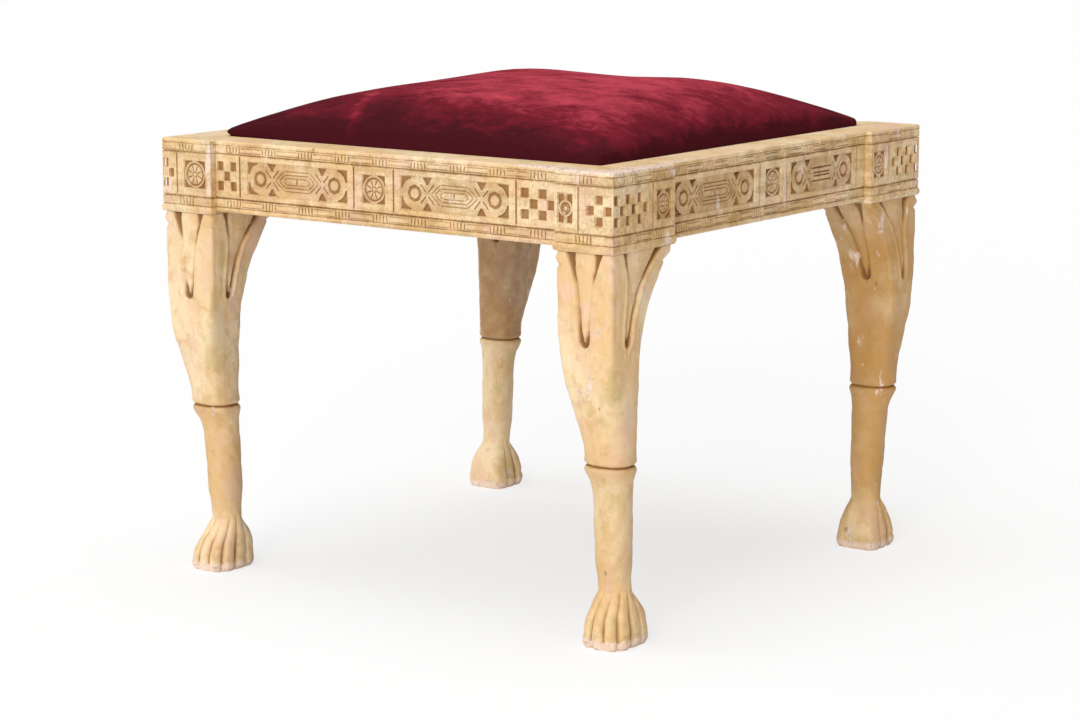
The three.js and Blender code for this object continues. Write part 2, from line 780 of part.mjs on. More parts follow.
// Brace across an inner corner, fitted round the block, in the corner's frame
function braceGeometry() {
  const [nearRail, pastBlockX, pastBlockY] = [seatInset, blockWidth, blockDepth].map(
    (place) => place + jointGap,
  );
  const outline = [
    [pastBlockX, nearRail],
    [pastBlockX + braceArm, nearRail],
    [pastBlockX + braceArm, nearRail + ledgeWidth],
    [nearRail + ledgeWidth, pastBlockY + braceArm],
    [nearRail, pastBlockY + braceArm],
    [nearRail, pastBlockY],
    [pastBlockX, pastBlockY],
  ];
  const body = solidOf(prismAlongZ(shapeOf(outline), braceBottom, braceTop));
  const holes = braceScrewPlaces().flatMap(([x, y]) => [screwHole(braceScrewLength), screwSink()].map(
    (cutter) => solidOf(cutter.rotateX(Math.PI).translate(x, y, braceBottom)),
  ));
  return geometryOf(body.subtract(joined(holes)));
}

// Half sizes of the seat's layers, from the cover's outer side inward
const coverHalf = [frameWidth / 2 - seatInset - seatPlay, frameDepth / 2 - seatInset - seatPlay];
const seatHalf = coverHalf.map((half) => half - coverThickness - jointGap);

// Heights of the seat's layers above the ledge
const seatBottom = ledgeTop + jointGap;
const seatRailBottom = seatBottom + coverThickness + jointGap;
const seatRailTop = seatRailBottom + seatRailThickness;
const strapMiddle = seatRailTop + jointGap + strapThickness / 2;
const strapWave = (strapThickness + jointGap) / 2;
const hessianBottom = strapMiddle + strapWave + strapThickness / 2 + jointGap;
const padBottom = hessianBottom + clothThickness + jointGap;
const coverEdge = frameHeight + coverRise;

// Points around a rectangle with round corners, whose sides are drawn in between the corners
function roundedLoop([halfX, halfY], radius, drawIn) {
  const signs = [[1, 1], [-1, 1], [-1, -1], [1, -1]];
  const onArc = (quarter, share) => {
    const [signX, signY] = signs[quarter % signs.length];
    const angle = ((quarter + share) * Math.PI) / 2;
    const [middleX, middleY] = [signX * (halfX - radius), signY * (halfY - radius)];
    return [middleX + radius * Math.cos(angle), middleY + radius * Math.sin(angle)];
  };
  return signs.flatMap((unused, quarter) => {
    const arc = Array.from({ length: arcSteps + 1 }, (item, step) => onArc(quarter, step / arcSteps));
    const [from, to] = [onArc(quarter, 1), onArc(quarter + 1, 0)];
    const outward = [Math.cos(((quarter + 1) * Math.PI) / 2), Math.sin(((quarter + 1) * Math.PI) / 2)];
    const side = Array.from({ length: sideSteps - 1 }, (item, step) => {
      const share = (step + 1) / sideSteps;
      const bow = drawIn * 4 * share * (1 - share);
      return [0, 1].map((axis) => mix(from[axis], to[axis], share) - outward[axis] * bow);
    });
    return [...arc, ...side];
  });
}

function levelRing(half, radius, drawIn, z) {
  return roundedLoop(half, radius, drawIn).map(([x, y]) => [x, y, z]);
}

// Crowned rings from the edge to the middle, for a layer that lies inset inside the cover's outer side
function crownRings(inset) {
  const half = coverHalf.map((value) => value - inset);
  const radius = seatCornerRadius - inset;
  const [drawn, plain] = [roundedLoop(half, radius, coverDrawIn), roundedLoop(half, radius, 0)];
  const rise = (share) => Math.max(1 - Math.abs(share) ** crownPower, 0) ** crownRootPower;
  return crownRingShares.map((share) => drawn.map(([x, y], i) => {
    const [shareX, shareY] = plain[i].map((value, axis) => (share * value) / half[axis]);
    return [x * share, y * share, coverEdge - inset + crownHeight * rise(shareX) * rise(shareY)];
  }));
}

// Block as wide as the seat with its crown on top, inset inside the cover's outer side
function crownedSolid(inset) {
  const half = coverHalf.map((value) => value - inset);
  const radius = seatCornerRadius - inset;
  return solidOf(loftGeometry([
    levelRing(half, radius, 0, seatBottom + inset), levelRing(half, radius, 0, frameHeight - coverThickness),
    ...crownRings(inset),
  ]));
}

// Cover drawn over the seat, down its sides and under it in a hem
function coverGeometry() {
  const hem = roundedLoop(coverHalf.map((value) => value - hemWidth), seatCornerRadius, 0);
  const opening = prismAlongZ(shapeOf(hem), seatBottom - cutOverrun, seatBottom + cutOverrun);
  return geometryOf(crownedSolid(0).subtract(crownedSolid(coverThickness)).subtract(solidOf(opening)));
}

function padGeometry() {
  const inset = coverThickness + jointGap;
  const half = coverHalf.map((value) => value - inset);
  return loftGeometry([levelRing(half, seatCornerRadius - inset, 0, padBottom), ...crownRings(inset)]);
}

// Front rail of the seat, along x, with its outer corners rounded and a mortise near each end
function frontSeatRailGeometry() {
  const [halfX, halfY] = seatHalf;
  const radius = seatCornerRadius - coverThickness - jointGap;
  const outline = prismAlongZ(shapeOf(roundedLoop(seatHalf, radius, 0)), seatRailBottom, seatRailTop);
  const bar = solidOf(prismAlongX(shapeOf(seatRailSection(halfY)), -halfX, halfX));
  const body = bar.intersect(solidOf(outline));
  const middle = (seatRailBottom + seatRailTop) / 2;
  const [reachX, reachZ] = [seatRailWidth / 4 + jointGap, seatTenonThickness / 2 + jointGap];
  const mortises = [-1, 1].map((side) => {
    const place = side * (halfX - seatRailWidth / 2);
    return boxSolid(
      [place - reachX, -halfY + seatRailWidth - seatTenonLength - jointGap, middle - reachZ],
      [place + reachX, -halfY + seatRailWidth + cutOverrun, middle + reachZ],
    );
  });
  return geometryOf(body.subtract(joined(mortises)));
}

// Section of a seat rail in place across the seat and height, its outer top edge chamfered
function seatRailSection(half) {
  return [
    [-half, seatRailBottom], [-half, seatRailTop - seatRailChamfer], [-half + seatRailChamfer, seatRailTop],
    [-half + seatRailWidth, seatRailTop], [-half + seatRailWidth, seatRailBottom],
  ];
}

// Left rail of the seat, along y between the front and back rails, with a tenon at each end
function sideSeatRailGeometry() {
  const [halfX, halfY] = seatHalf;
  const reach = halfY - seatRailWidth - jointGap;
  const body = solidOf(transposed(prismAlongX(shapeOf(seatRailSection(halfX)), -reach, reach)));
  const middle = (seatRailBottom + seatRailTop) / 2;
  const place = -halfX + seatRailWidth / 2;
  const tenons = boxSolid(
    [place - seatRailWidth / 4, -reach - seatTenonLength, middle - seatTenonThickness / 2],
    [place + seatRailWidth / 4, reach + seatTenonLength, middle + seatTenonThickness / 2],
  );
  return geometryOf(body.add(tenons));
}

// Straps stand evenly across the opening of the seat's frame
function strapPlaces(half) {
  const spacing = (2 * (half - seatRailWidth)) / strapsEachWay;
  return Array.from({ length: strapsEachWay }, (unused, i) => (i - (strapsEachWay - 1) / 2) * spacing);
}

// Webbing strap along x through one place across it, over and under the straps that cross it
function strapGeometry(half, place, firstOver) {
  const flat = strapWidth / 2 + strapThickness;
  const railEdge = half - seatRailWidth;
  const crossings = strapPlaces(half).flatMap((crossing, i) => {
    const wave = (i % 2 === 0) === firstOver ? strapWave : -strapWave;
    return [[crossing - flat, wave], [crossing + flat, wave]];
  });
  const end = railEdge + strapBearing;
  const line = [[-end, 0], [-railEdge, 0], ...crossings, [railEdge, 0], [end, 0]];
  const edge = (side) => line.map(([x, wave]) => [x, strapMiddle + wave + (side * strapThickness) / 2]);
  const outline = [...edge(-1), ...edge(1).reverse()];
  return prismAlongY(shapeOf(outline), place - strapWidth / 2, place + strapWidth / 2);
}

function sheetGeometry(half, inset, bottom, thickness) {
  const [halfX, halfY] = half.map((value) => value - inset);
  return boxGeometry([-halfX, -halfY, bottom], [halfX, halfY, bottom + thickness]);
}

// Assembly
function piece(name, geometry, material) {
  const mesh = new THREE.Mesh(geometry, material.clone());
  mesh.name = name;
  return mesh;
}

function cornerGroup(corner) {
  const { name, signX, signY } = corner;
  const group = new THREE.Group();
  const placed = (label, geometry, material) => {
    group.add(piece(label, mirrored(geometry, -signX, -signY), material));
  };
  placed(`leg_${name}`, legShape, paintedWood);
  placed(`corner_block_${name}`, blockGeometry(corner), paintedWood);
  placed(`corner_brace_${name}`, braceGeometry(), bareWood);
  braceScrewPlaces().forEach(([x, y], i) => {
    const screw = screwGeometry(braceScrewLength).rotateX(Math.PI).translate(x, y, braceBottom);
    placed(`brace_screw_${name}_${i + 1}`, screw, screwSteel);
  });
  group.position.set((signX * frameWidth) / 2, (signY * frameDepth) / 2, 0);
  return group;
}

function railGroup({ name, span, blockEnd, across, turn, longPanel, shift }) {
  const group = new THREE.Group();
  const visible = span - 2 * blockEnd;
  group.add(piece(`rail_${name}`, railGeometry({ span, blockEnd, longPanel, shift }), paintedWood));
  group.add(piece(`seat_ledge_${name}`, ledgeGeometry(visible), bareWood));
  ledgeScrewPlaces(visible).forEach((place, i) => {
    const screw = screwGeometry(ledgeScrewLength).rotateX(-Math.PI / 2)
      .translate(place, ledgeScrewHead(), (ledgeTop + ledgeBottom) / 2);
    group.add(piece(`ledge_screw_${name}_${i + 1}`, screw, screwSteel));
  });
  group.rotation.z = turn;
  group.position.set((across / 2) * Math.sin(turn), (-across / 2) * Math.cos(turn), 0);
  return group;
}

function seatGroup() {
  const group = new THREE.Group();
  group.add(piece('seat_rail_front', frontSeatRailGeometry(), bareWood));
  group.add(piece('seat_rail_back', mirrored(frontSeatRailGeometry(), 1, -1), bareWood));
  group.add(piece('seat_rail_left', sideSeatRailGeometry(), bareWood));
  group.add(piece('seat_rail_right', mirrored(sideSeatRailGeometry(), -1, 1), bareWood));
  const [halfX, halfY] = seatHalf;
  strapPlaces(halfY).forEach((place, i) => {
    group.add(piece(`webbing_across_${i + 1}`, strapGeometry(halfX, place, i % 2 === 0), juteWebbing));
  });
  strapPlaces(halfX).forEach((place, i) => {
    const strap = transposed(strapGeometry(halfY, place, i % 2 !== 0));
    group.add(piece(`webbing_along_${i + 1}`, strap, juteWebbing));
  });
  const hessianSheet = sheetGeometry(seatHalf, clothMargin, hessianBottom, clothThickness);
  group.add(piece('hessian', hessianSheet, hessianCloth));
  group.add(piece('stuffing_pad', padGeometry(), stuffing));
  group.add(piece('velvet_cover', coverGeometry(), velvet));
  const dustBottom = seatBottom - jointGap - dustClothThickness;
  const dustSheet = sheetGeometry(coverHalf, dustClothInset, dustBottom, dustClothThickness);
  group.add(piece('dust_cloth', dustSheet, dustCloth));
  return group;
}

const legShape = legGeometry();
const [faceRail, sideRail] = [
  {
    span: frameWidth,
    blockEnd: blockWidth,
    across: frameDepth,
    longPanel: frontLongPanelLength,
    shift: frontFriezeShift,
  },
  { span: frameDepth, blockEnd: blockDepth, across: frameWidth, longPanel: sideLongPanelLength, shift: 0 },
];

const stool = new THREE.Group();
corners.forEach((corner) => stool.add(cornerGroup(corner)));
stool.add(railGroup({ ...faceRail, name: 'front', turn: 0 }));
stool.add(railGroup({ ...sideRail, name: 'right', turn: Math.PI / 2 }));
stool.add(railGroup({ ...faceRail, name: 'back', turn: Math.PI }));
stool.add(railGroup({ ...sideRail, name: 'left', turn: -Math.PI / 2 }));
stool.add(seatGroup());

export default stool;
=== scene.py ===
"""Carved and painted stool on four lion legs with a lift-out velvet seat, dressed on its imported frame."""

import logging
import math
from dataclasses import dataclass, field
from enum import Enum
from typing import Callable, Iterable, Sequence

import bmesh
import bpy
import numpy as np
from mathutils import Matrix, Vector


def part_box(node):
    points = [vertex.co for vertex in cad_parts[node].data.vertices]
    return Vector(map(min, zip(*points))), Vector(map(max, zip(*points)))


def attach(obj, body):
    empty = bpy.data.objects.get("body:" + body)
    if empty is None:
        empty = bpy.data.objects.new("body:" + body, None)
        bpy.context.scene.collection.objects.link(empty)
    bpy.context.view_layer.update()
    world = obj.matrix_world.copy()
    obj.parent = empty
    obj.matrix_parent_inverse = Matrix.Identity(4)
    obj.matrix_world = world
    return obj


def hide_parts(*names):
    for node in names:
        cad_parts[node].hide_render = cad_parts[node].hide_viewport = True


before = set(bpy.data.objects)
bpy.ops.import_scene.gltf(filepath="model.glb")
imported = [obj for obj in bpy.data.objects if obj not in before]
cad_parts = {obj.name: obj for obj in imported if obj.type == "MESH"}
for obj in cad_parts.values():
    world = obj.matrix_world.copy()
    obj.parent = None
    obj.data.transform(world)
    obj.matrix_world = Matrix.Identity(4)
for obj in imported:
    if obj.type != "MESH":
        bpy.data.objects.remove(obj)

MM = 0.001
LOG = logging.getLogger("stool")
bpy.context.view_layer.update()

Point = tuple[float, float]
Piece = bpy.types.Object
Array = np.ndarray
Material = bpy.types.Material


class Named(Enum):
    """Choices whose names are also part of a piece's name."""

    @property
    def label(self) -> str:
        """The name as the frame's nodes and the finishes have it."""
        return self.name.lower()


class Corner(Named):
    """The stool's corners, each with the side it stands on across and along."""

    FRONT_LEFT = (-1, -1)
    FRONT_RIGHT = (1, -1)
    BACK_RIGHT = (1, 1)
    BACK_LEFT = (-1, 1)


class Side(Named):
    """The frame's sides, each with the quarter turns that bring the front to it."""

    FRONT = 0
    RIGHT = 1
    BACK = 2
    LEFT = 3


class Streaks(Named):
    """Which way brush marks or grain run on a piece, as stretch factors of the pattern."""

    ACROSS = (0.12, 1.0, 1.0)
    ALONG = (1.0, 0.12, 1.0)
    UPRIGHT = (1.0, 1.0, 0.1)


class Panel(Enum):
    """Kinds of carved panel on the frieze."""

    CHEQUER = "chequer"
    SHIFTED = "shifted chequer"
    STRAPWORK = "strapwork"
    BARRED = "barred"
    ROSETTE = "rosette"
    GROOVE = "groove"


# What is carved along a face: the kind of each panel, where it begins and where it ends
Panels = tuple[tuple[Panel, float, float], ...]

# The corner blocks' faces, in millimetres from the corner
SHORT_FACE: Panels = ((Panel.CHEQUER, 1.0, 16.0), (Panel.GROOVE, 18.9, 21.1), (Panel.ROSETTE, 30.0, 58.0))
WRAPPED_FACE: Panels = ((Panel.SHIFTED, 1.5, 31.0), (Panel.GROOVE, 37.9, 40.1), (Panel.ROSETTE, 46.0, 62.0))
LONG_FACE: Panels = ((Panel.CHEQUER, 1.5, 58.5), (Panel.GROOVE, 64.4, 66.6), (Panel.ROSETTE, 72.0, 96.0))

# The rails' faces, in millimetres from the stool's left side as that face is seen
FRONT_RAIL: Panels = (
    (Panel.CHEQUER, 68.0, 94.0), (Panel.GROOVE, 97.4, 99.6), (Panel.STRAPWORK, 103.0, 244.0),
    (Panel.GROOVE, 246.2, 248.4), (Panel.ROSETTE, 258.0, 286.0), (Panel.GROOVE, 295.9, 298.1),
    (Panel.STRAPWORK, 300.0, 441.0), (Panel.GROOVE, 443.2, 445.4), (Panel.CHEQUER, 449.0, 490.0),
)
SIDE_RAIL: Panels = (
    (Panel.STRAPWORK, 108.0, 262.0), (Panel.GROOVE, 264.9, 267.1), (Panel.ROSETTE, 277.0, 305.0),
    (Panel.GROOVE, 315.9, 318.1), (Panel.BARRED, 320.0, 453.0), (Panel.GROOVE, 454.6, 456.8),
)


@dataclass(frozen=True)
class Frame:
    """Main sizes of the frame, in millimetres, as in its solids."""

    width: float = 560.0
    depth: float = 575.0
    height: float = 456.0
    block_width: float = 66.0
    block_depth: float = 102.0
    apron: float = 75.6
    rail_drop: float = 3.0
    setback: float = 8.0
    inset: float = 46.0
    rebate: float = 30.0
    gap: float = 0.3
    frieze_top: float = 14.0
    frieze_high: float = 43.5

    @property
    def leg_top(self) -> float:
        """Height at which the legs end under the blocks."""
        return self.height - self.apron - self.gap

    @property
    def ledge_top(self) -> float:
        """Height of the ledges that carry the seat."""
        return self.height - self.rebate

    @property
    def frieze_middle(self) -> float:
        """Height of the frieze's middle line."""
        return self.height - self.frieze_top - self.frieze_high / 2


SIZES = Frame()


def colour(red: float, green: float, blue: float) -> tuple[float, float, float, float]:
    """Turns a colour of 0 to 255 as seen on a screen into the shader's linear one.

    Args:
        red: The red part.
        green: The green part.
        blue: The blue part.

    Returns:
        The linear colour with full alpha.
    """
    parts = [value / 255 for value in (red, green, blue)]
    bent = [p / 12.92 if p <= 0.04045 else ((p + 0.055) / 1.055) ** 2.4 for p in parts]
    return (bent[0], bent[1], bent[2], 1.0)


def ramp(value: Array, low: float, high: float) -> Array:
    """Smooth step from 0 at one value to 1 at another."""
    share = np.clip((value - low) / (high - low), 0, 1)
    return share * share * (3 - 2 * share)


def bell(value: Array, middle: float, wide: float) -> Array:
    """Bell curve, 1 at its middle and about a third at this distance from it."""
    return np.exp(-(((value - middle) / wide) ** 2))


class Wire:
    """An output socket that can be used in arithmetic, each step adding a Math node."""

    def __init__(self, board: "Board", socket: bpy.types.NodeSocket) -> None:
        """Keeps the socket with the board that its nodes lie on."""
        self.board = board
        self.socket = socket

    def _with(self, operation: str, *values: "Wire | float") -> "Wire":
        """Adds one Math node on these values."""
        return self.board.add("ShaderNodeMath", {"operation": operation}, dict(enumerate(values)))

    def __add__(self, other: "Wire | float") -> "Wire":
        """Sum."""
        return self._with("ADD", self, other)

    __radd__ = __add__

    def __sub__(self, other: "Wire | float") -> "Wire":
        """Difference."""
        return self._with("SUBTRACT", self, other)

    def __rsub__(self, other: float) -> "Wire":
        """Difference from a number."""
        return self._with("SUBTRACT", other, self)

    def __mul__(self, other: "Wire | float") -> "Wire":
        """Product."""
        return self._with("MULTIPLY", self, other)

    __rmul__ = __mul__

    def greatest(self, other: "Wire | float") -> "Wire":
        """The larger of two values."""
        return self._with("MAXIMUM", self, other)

    def away_from(self, middle: float) -> "Wire":
        """Distance from a value, always positive."""
        return self._with("ABSOLUTE", self - middle)

    def sine(self, turns: float) -> "Wire":
        """Sine of the value times a number of radians per unit."""
        return self._with("SINE", self * turns)

    def band(self, low: float, high: float) -> "Wire":
        """Smooth step from 0 at low to 1 at high."""
        sockets = {"Value": self, "From Min": low, "From Max": high}
        return self.board.add("ShaderNodeMapRange", {"interpolation_type": "SMOOTHSTEP"}, sockets)


class Board:
    """A material under construction, with the node kinds that the finishes use."""

    def __init__(self, name: str) -> None:
        """Starts an empty material.

        Args:
            name: Its name.
        """
        self.material = bpy.data.materials.new(name)
        self.material.use_nodes = True
        self.tree = self.material.node_tree
        self.tree.nodes.clear()

    def add(self, kind: str, settings: dict, sockets: dict, output: int | str = 0) -> Wire:
        """Adds a node.

        Args:
            kind: The node's type.
            settings: Its settings, set before its sockets.
            sockets: Values or wires by socket name or place.
            output: The output that the wire leaves from.

        Returns:
            The wire from that output.
        """
        node = self.tree.nodes.new(kind)
        for key, value in settings.items():
            setattr(node, key, value)
        for key, value in sockets.items():
            if isinstance(value, Wire):
                self.tree.links.new(value.socket, node.inputs[key])
            else:
                node.inputs[key].default_value = value
        return Wire(self, node.outputs[output])

    def place(self, stretch: Sequence[float] = (1.0, 1.0, 1.0)) -> Wire:
        """Object coordinates, stretched by these factors."""
        here = self.add("ShaderNodeTexCoord", {}, {}, "Object")
        return self.add("ShaderNodeVectorMath", {"operation": "MULTIPLY"}, {0: here, 1: tuple(stretch)})

    def axis(self, name: str) -> Wire:
        """One of the object coordinates, x, y or z, in metres."""
        here = self.add("ShaderNodeTexCoord", {}, {}, "Object")
        return self.add("ShaderNodeSeparateXYZ", {}, {0: here}, name)

    def noise(self, place: Wire, scale: float, detail: float = 3.0, rough: float = 0.55, warp: float = 0.0) -> Wire:
        """Cloudy noise at a place, with scale in patches per metre."""
        sockets = {"Vector": place, "Scale": scale, "Detail": detail, "Roughness": rough, "Distortion": warp}
        return self.add("ShaderNodeTexNoise", {}, sockets)

    def cells(self, place: Wire, scale: float) -> Wire:
        """Distance to the nearest crack of a cracked surface."""
        return self.add("ShaderNodeTexVoronoi", {"feature": "DISTANCE_TO_EDGE"}, {"Vector": place, "Scale": scale})

    def mark(self, name: str) -> Wire:
        """A value kept on the mesh's own points."""
        return self.add("ShaderNodeAttribute", {"attribute_name": name}, {}, "Fac")

    def mixed(self, share: Wire | float, first: Wire | tuple, second: Wire | tuple) -> Wire:
        """Two colours mixed by a share."""
        sockets = {0: share, 6: first, 7: second}
        return self.add("ShaderNodeMix", {"data_type": "RGBA"}, sockets, 2)

    def layered(self, tone: Wire | tuple, *layers: tuple[Wire, Wire | tuple]) -> Wire | tuple:
        """Lays colours over a tone.

        Args:
            tone: The lowest tone.
            layers: The share and the colour of each layer, from the lowest up.

        Returns:
            The tone with its layers.
        """
        for share, tint in layers:
            tone = self.mixed(share, tone, tint)
        return tone

    def bump(self, height: Wire, distance: float, strength: float = 1.0) -> Wire:
        """A bumped normal from a height."""
        return self.add("ShaderNodeBump", {}, {"Height": height, "Distance": distance, "Strength": strength})

    def surface(self, sockets: dict) -> Material:
        """Closes the material with a Principled shader and these socket values."""
        self.add_output(self.add("ShaderNodeBsdfPrincipled", {}, sockets, "BSDF"))
        return self.material

    def add_output(self, shader: Wire) -> None:
        """Links a shader to the material's output."""
        node = self.tree.nodes.new("ShaderNodeOutputMaterial")
        self.tree.links.new(shader.socket, node.inputs["Surface"])


@dataclass(frozen=True)
class OldPaint:
    """Cream paint over a pale ground, with brown glaze in the hollows and wear on the edges."""

    name: str
    streaks: Streaks
    light: tuple = colour(243, 220, 182)
    warm: tuple = colour(231, 195, 145)
    deep: tuple = colour(210, 166, 110)
    green: tuple = colour(200, 180, 116)
    blush: tuple = colour(235, 198, 172)
    ochre: tuple = colour(186, 136, 62)
    brown: tuple = colour(140, 84, 26)
    olive: tuple = colour(166, 127, 66)
    glaze: tuple = colour(158, 112, 62)
    dark_glaze: tuple = colour(100, 62, 32)
    ground: tuple = colour(241, 218, 205)
    grey_ground: tuple = colour(190, 168, 156)
    bare: tuple = colour(132, 94, 56)
    dark_bare: tuple = colour(98, 68, 40)
    line_heights: tuple[float, ...] = (451.6, 444.4, 442.0, 398.5, 396.8, 388.4)
    rim: float = 0.4556  # Height just under the frame's top, in metres
    near_corner: Point = (0.36, 0.56)  # Where the chips of the nearest corner begin and are full, by x less y

    def _tone(self, board: Board, cloud: Wire, patch: Wire, grit: Wire, brush: Wire) -> Wire:
        """The aged cream, mottled by the patterns given, with more grime on the frieze and painted shade on the legs.

        Args:
            board: The material.
            cloud: The widest pattern.
            patch: A middling one.
            grit: The finest one.
            brush: Brush marks.

        Returns:
            The tone.
        """
        blotch = board.noise(board.place((1.0, 0.9, 0.55)), 34, 3, 0.6)
        under_top = 1 - board.axis("Z").band(0.4535, self.rim)
        grime = (patch * 0.25 + grit * 0.35 + brush * 0.4).band(0.4, 0.6) * board.mark("moulded") * under_top
        return board.layered(
            self.light,
            (cloud.band(0.4, 0.62), self.warm),
            (patch.band(0.5, 0.68) * 0.5, self.deep),
            (brush.band(0.48, 0.74) * 0.35, self.deep),
            (grit.band(0.54, 0.72) * 0.25, self.glaze),
            (blotch.band(0.53, 0.64) * 0.65, self.blush),
            ((1 - blotch).band(0.56, 0.68) * 0.5, self.green),
            (grime * 0.45, self.olive),
            # Painted shade: an ochre darkening set for each leg, heaviest on the back right leg, which gets less light
            (board.mark("aged") * (cloud + 0.4).band(0.4, 1.0), self.ochre),
            # Painted shade: brown over the legs' inward faces above the knee, heaviest on the back left leg, which
            # lies in the shade of the seat
            (board.mark("inner") * (patch + 0.4).band(0.35, 0.95), self.brown),
        )

    def _soiled(self, board: Board, tone: Wire, patch: Wire, grit: Wire) -> Wire:
        """Glaze left in hollows and along the lines of the mouldings.

        Args:
            board: The material.
            tone: The paint's tone.
            patch: A middling pattern.
            grit: A fine one.

        Returns:
            The tone with its glaze.
        """
        hollow, height = board.mark("glaze"), board.axis("Z")
        lines = None
        for level in self.line_heights:
            near = 1 - height.away_from(level * MM).band(0.0, 0.0011)
            lines = near if lines is None else lines.greatest(near)
        lines = lines * (patch + (grit - 0.5) * 0.5).band(0.3, 0.6) * 0.65 * board.mark("moulded")
        return board.layered(
            tone,
            (lines, self.glaze),
            ((hollow * 1.05 + (patch - 0.5) * 0.5).band(0.05, 0.8), self.glaze),
            ((hollow + (grit - 0.5) * 0.35).band(0.68, 1.2) * 0.85, self.dark_glaze),
        )

    def material(self) -> Material:
        """Builds the paint.

        Returns:
            The finished material.
        """
        board = Board(self.name)
        place = board.place()
        cloud = board.noise(place, 13, 4, 0.6)
        patch = board.noise(place, 62, 5, 0.65)
        grit = board.noise(place, 420, 4, 0.65)
        brush = board.noise(board.place(self.streaks.value), 120, 4, 0.6)
        tone = self._soiled(board, self._tone(board, cloud, patch, grit, brush), patch, grit)

        top = board.axis("Z").band(0.4524, self.rim) * board.mark("moulded")
        chipped = (board.axis("X") - board.axis("Y")).band(*self.near_corner)
        near_top = board.axis("Z").band(0.4465, self.rim) * board.mark("moulded") * chipped
        edge = board.mark("wear").greatest(top * 0.6) + near_top * 0.74
        streak = board.noise(board.place((1.0, 1.0, 0.32)), 58, 4, 0.6)
        chip = (edge * 0.9 + (patch - 0.5) + (grit - 0.5) * 0.8).band(0.58, 0.76)
        loose = (streak + (grit - 0.5) * 0.2).band(0.64, 0.675)
        speck = (board.noise(place, 150, 2, 0.5) + (patch - 0.5) * 0.3).band(0.75, 0.78)
        greyed = (grit * 0.6 + patch * 0.4 + near_top * 0.05).band(0.5, 0.62)
        ground = board.mixed(greyed, self.ground, self.grey_ground)
        bared = chip.greatest(loose).greatest(speck)
        pit = board.noise(board.place((1.3, 1.1, 0.7)), 105, 2, 0.4).band(0.76, 0.785)
        wood = board.mixed(brush.band(0.4, 0.65), self.bare, self.dark_bare)
        inner = board.mark("bare")
        tone = board.layered(tone, (bared * 0.8, ground), (pit * 0.6, self.glaze), (inner, wood))
        crack = board.cells(place, 190).band(0.0, 0.06)
        relief = grit * 0.45 + brush * 0.2 + patch * 0.8 + crack * 0.12 - bared * 0.45 - pit * 0.7
        return board.surface(
            {
                "Base Color": tone,
                "Roughness": 0.47 + grit * 0.12 + bared * 0.22 + inner * 0.2,
                "Normal": board.bump(relief, 0.0005),
                "Specular IOR Level": 0.4,
            }
        )


@dataclass(frozen=True)
class BareWood:
    """Unpainted rail or batten with its grain along one way."""

    name: str
    streaks: Streaks
    light: tuple = colour(186, 145, 96)
    dark: tuple = colour(126, 88, 52)
    aged: tuple = colour(104, 76, 50)
    pore: tuple = colour(84, 56, 34)

    def material(self) -> Material:
        """Builds the wood.

        Returns:
            The finished material.
        """
        board = Board(self.name)
        grain = board.noise(board.place(self.streaks.value), 190, 5, 0.62, 0.6)
        pores = board.noise(board.place(self.streaks.value), 900, 2)
        age = board.noise(board.place(), 14, 3)
        tone = board.mixed(grain.band(0.35, 0.66), self.light, self.dark)
        tone = board.mixed(age.band(0.5, 0.7) * 0.45, tone, self.aged)
        tone = board.mixed(pores.band(0.6, 0.7) * 0.4, tone, self.pore)
        normal = board.bump(grain * 0.6 + pores * 0.4, 0.0003)
        return board.surface({"Base Color": tone, "Roughness": 0.62 + grain * 0.15, "Normal": normal})


@dataclass(frozen=True)
class ScrewSteel:
    """Dull steel of an old screw."""

    name: str = "screw_steel_finish"
    bright: tuple = colour(150, 147, 142)
    rusty: tuple = colour(104, 84, 66)

    def material(self) -> Material:
        """Builds the steel.

        Returns:
            The finished material.
        """
        board = Board(self.name)
        spot = board.noise(board.place(), 700, 3)
        tone = board.mixed(spot.band(0.5, 0.68), self.bright, self.rusty)
        rough = 0.34 + spot.band(0.45, 0.7) * 0.35
        return board.surface({"Base Color": tone, "Metallic": 0.95, "Roughness": rough})


@dataclass(frozen=True)
class Weave:
    """Plain woven cloth whose threads cross at right angles."""

    name: str
    thread: float
    light: tuple
    dark: tuple
    stripe: tuple | None = None
    depth: float = 0.0003

    def material(self) -> Material:
        """Builds the cloth, with stripes along its edges where it is a strap.

        Returns:
            The finished material.
        """
        board = Board(self.name)
        across, along = board.axis("X"), board.axis("Y")
        turns = math.pi / (self.thread * MM)
        wave = (across.sine(turns) * along.sine(turns)).band(-1, 1)
        slub = board.noise(board.place((1, 0.2, 1)), 620, 3) + board.noise(board.place((0.2, 1, 1)), 620, 3)
        tone = board.mixed(wave * 0.7 + (slub - 1) * 0.6, self.dark, self.light)
        if self.stripe is not None:
            tone = board.mixed(board.mark("stripe").band(0.5, 0.6) * 0.8, tone, self.stripe)
        normal = board.bump(wave + slub * 0.5, self.depth)
        return board.surface({"Base Color": tone, "Roughness": 0.88, "Normal": normal, "Sheen Weight": 0.15})


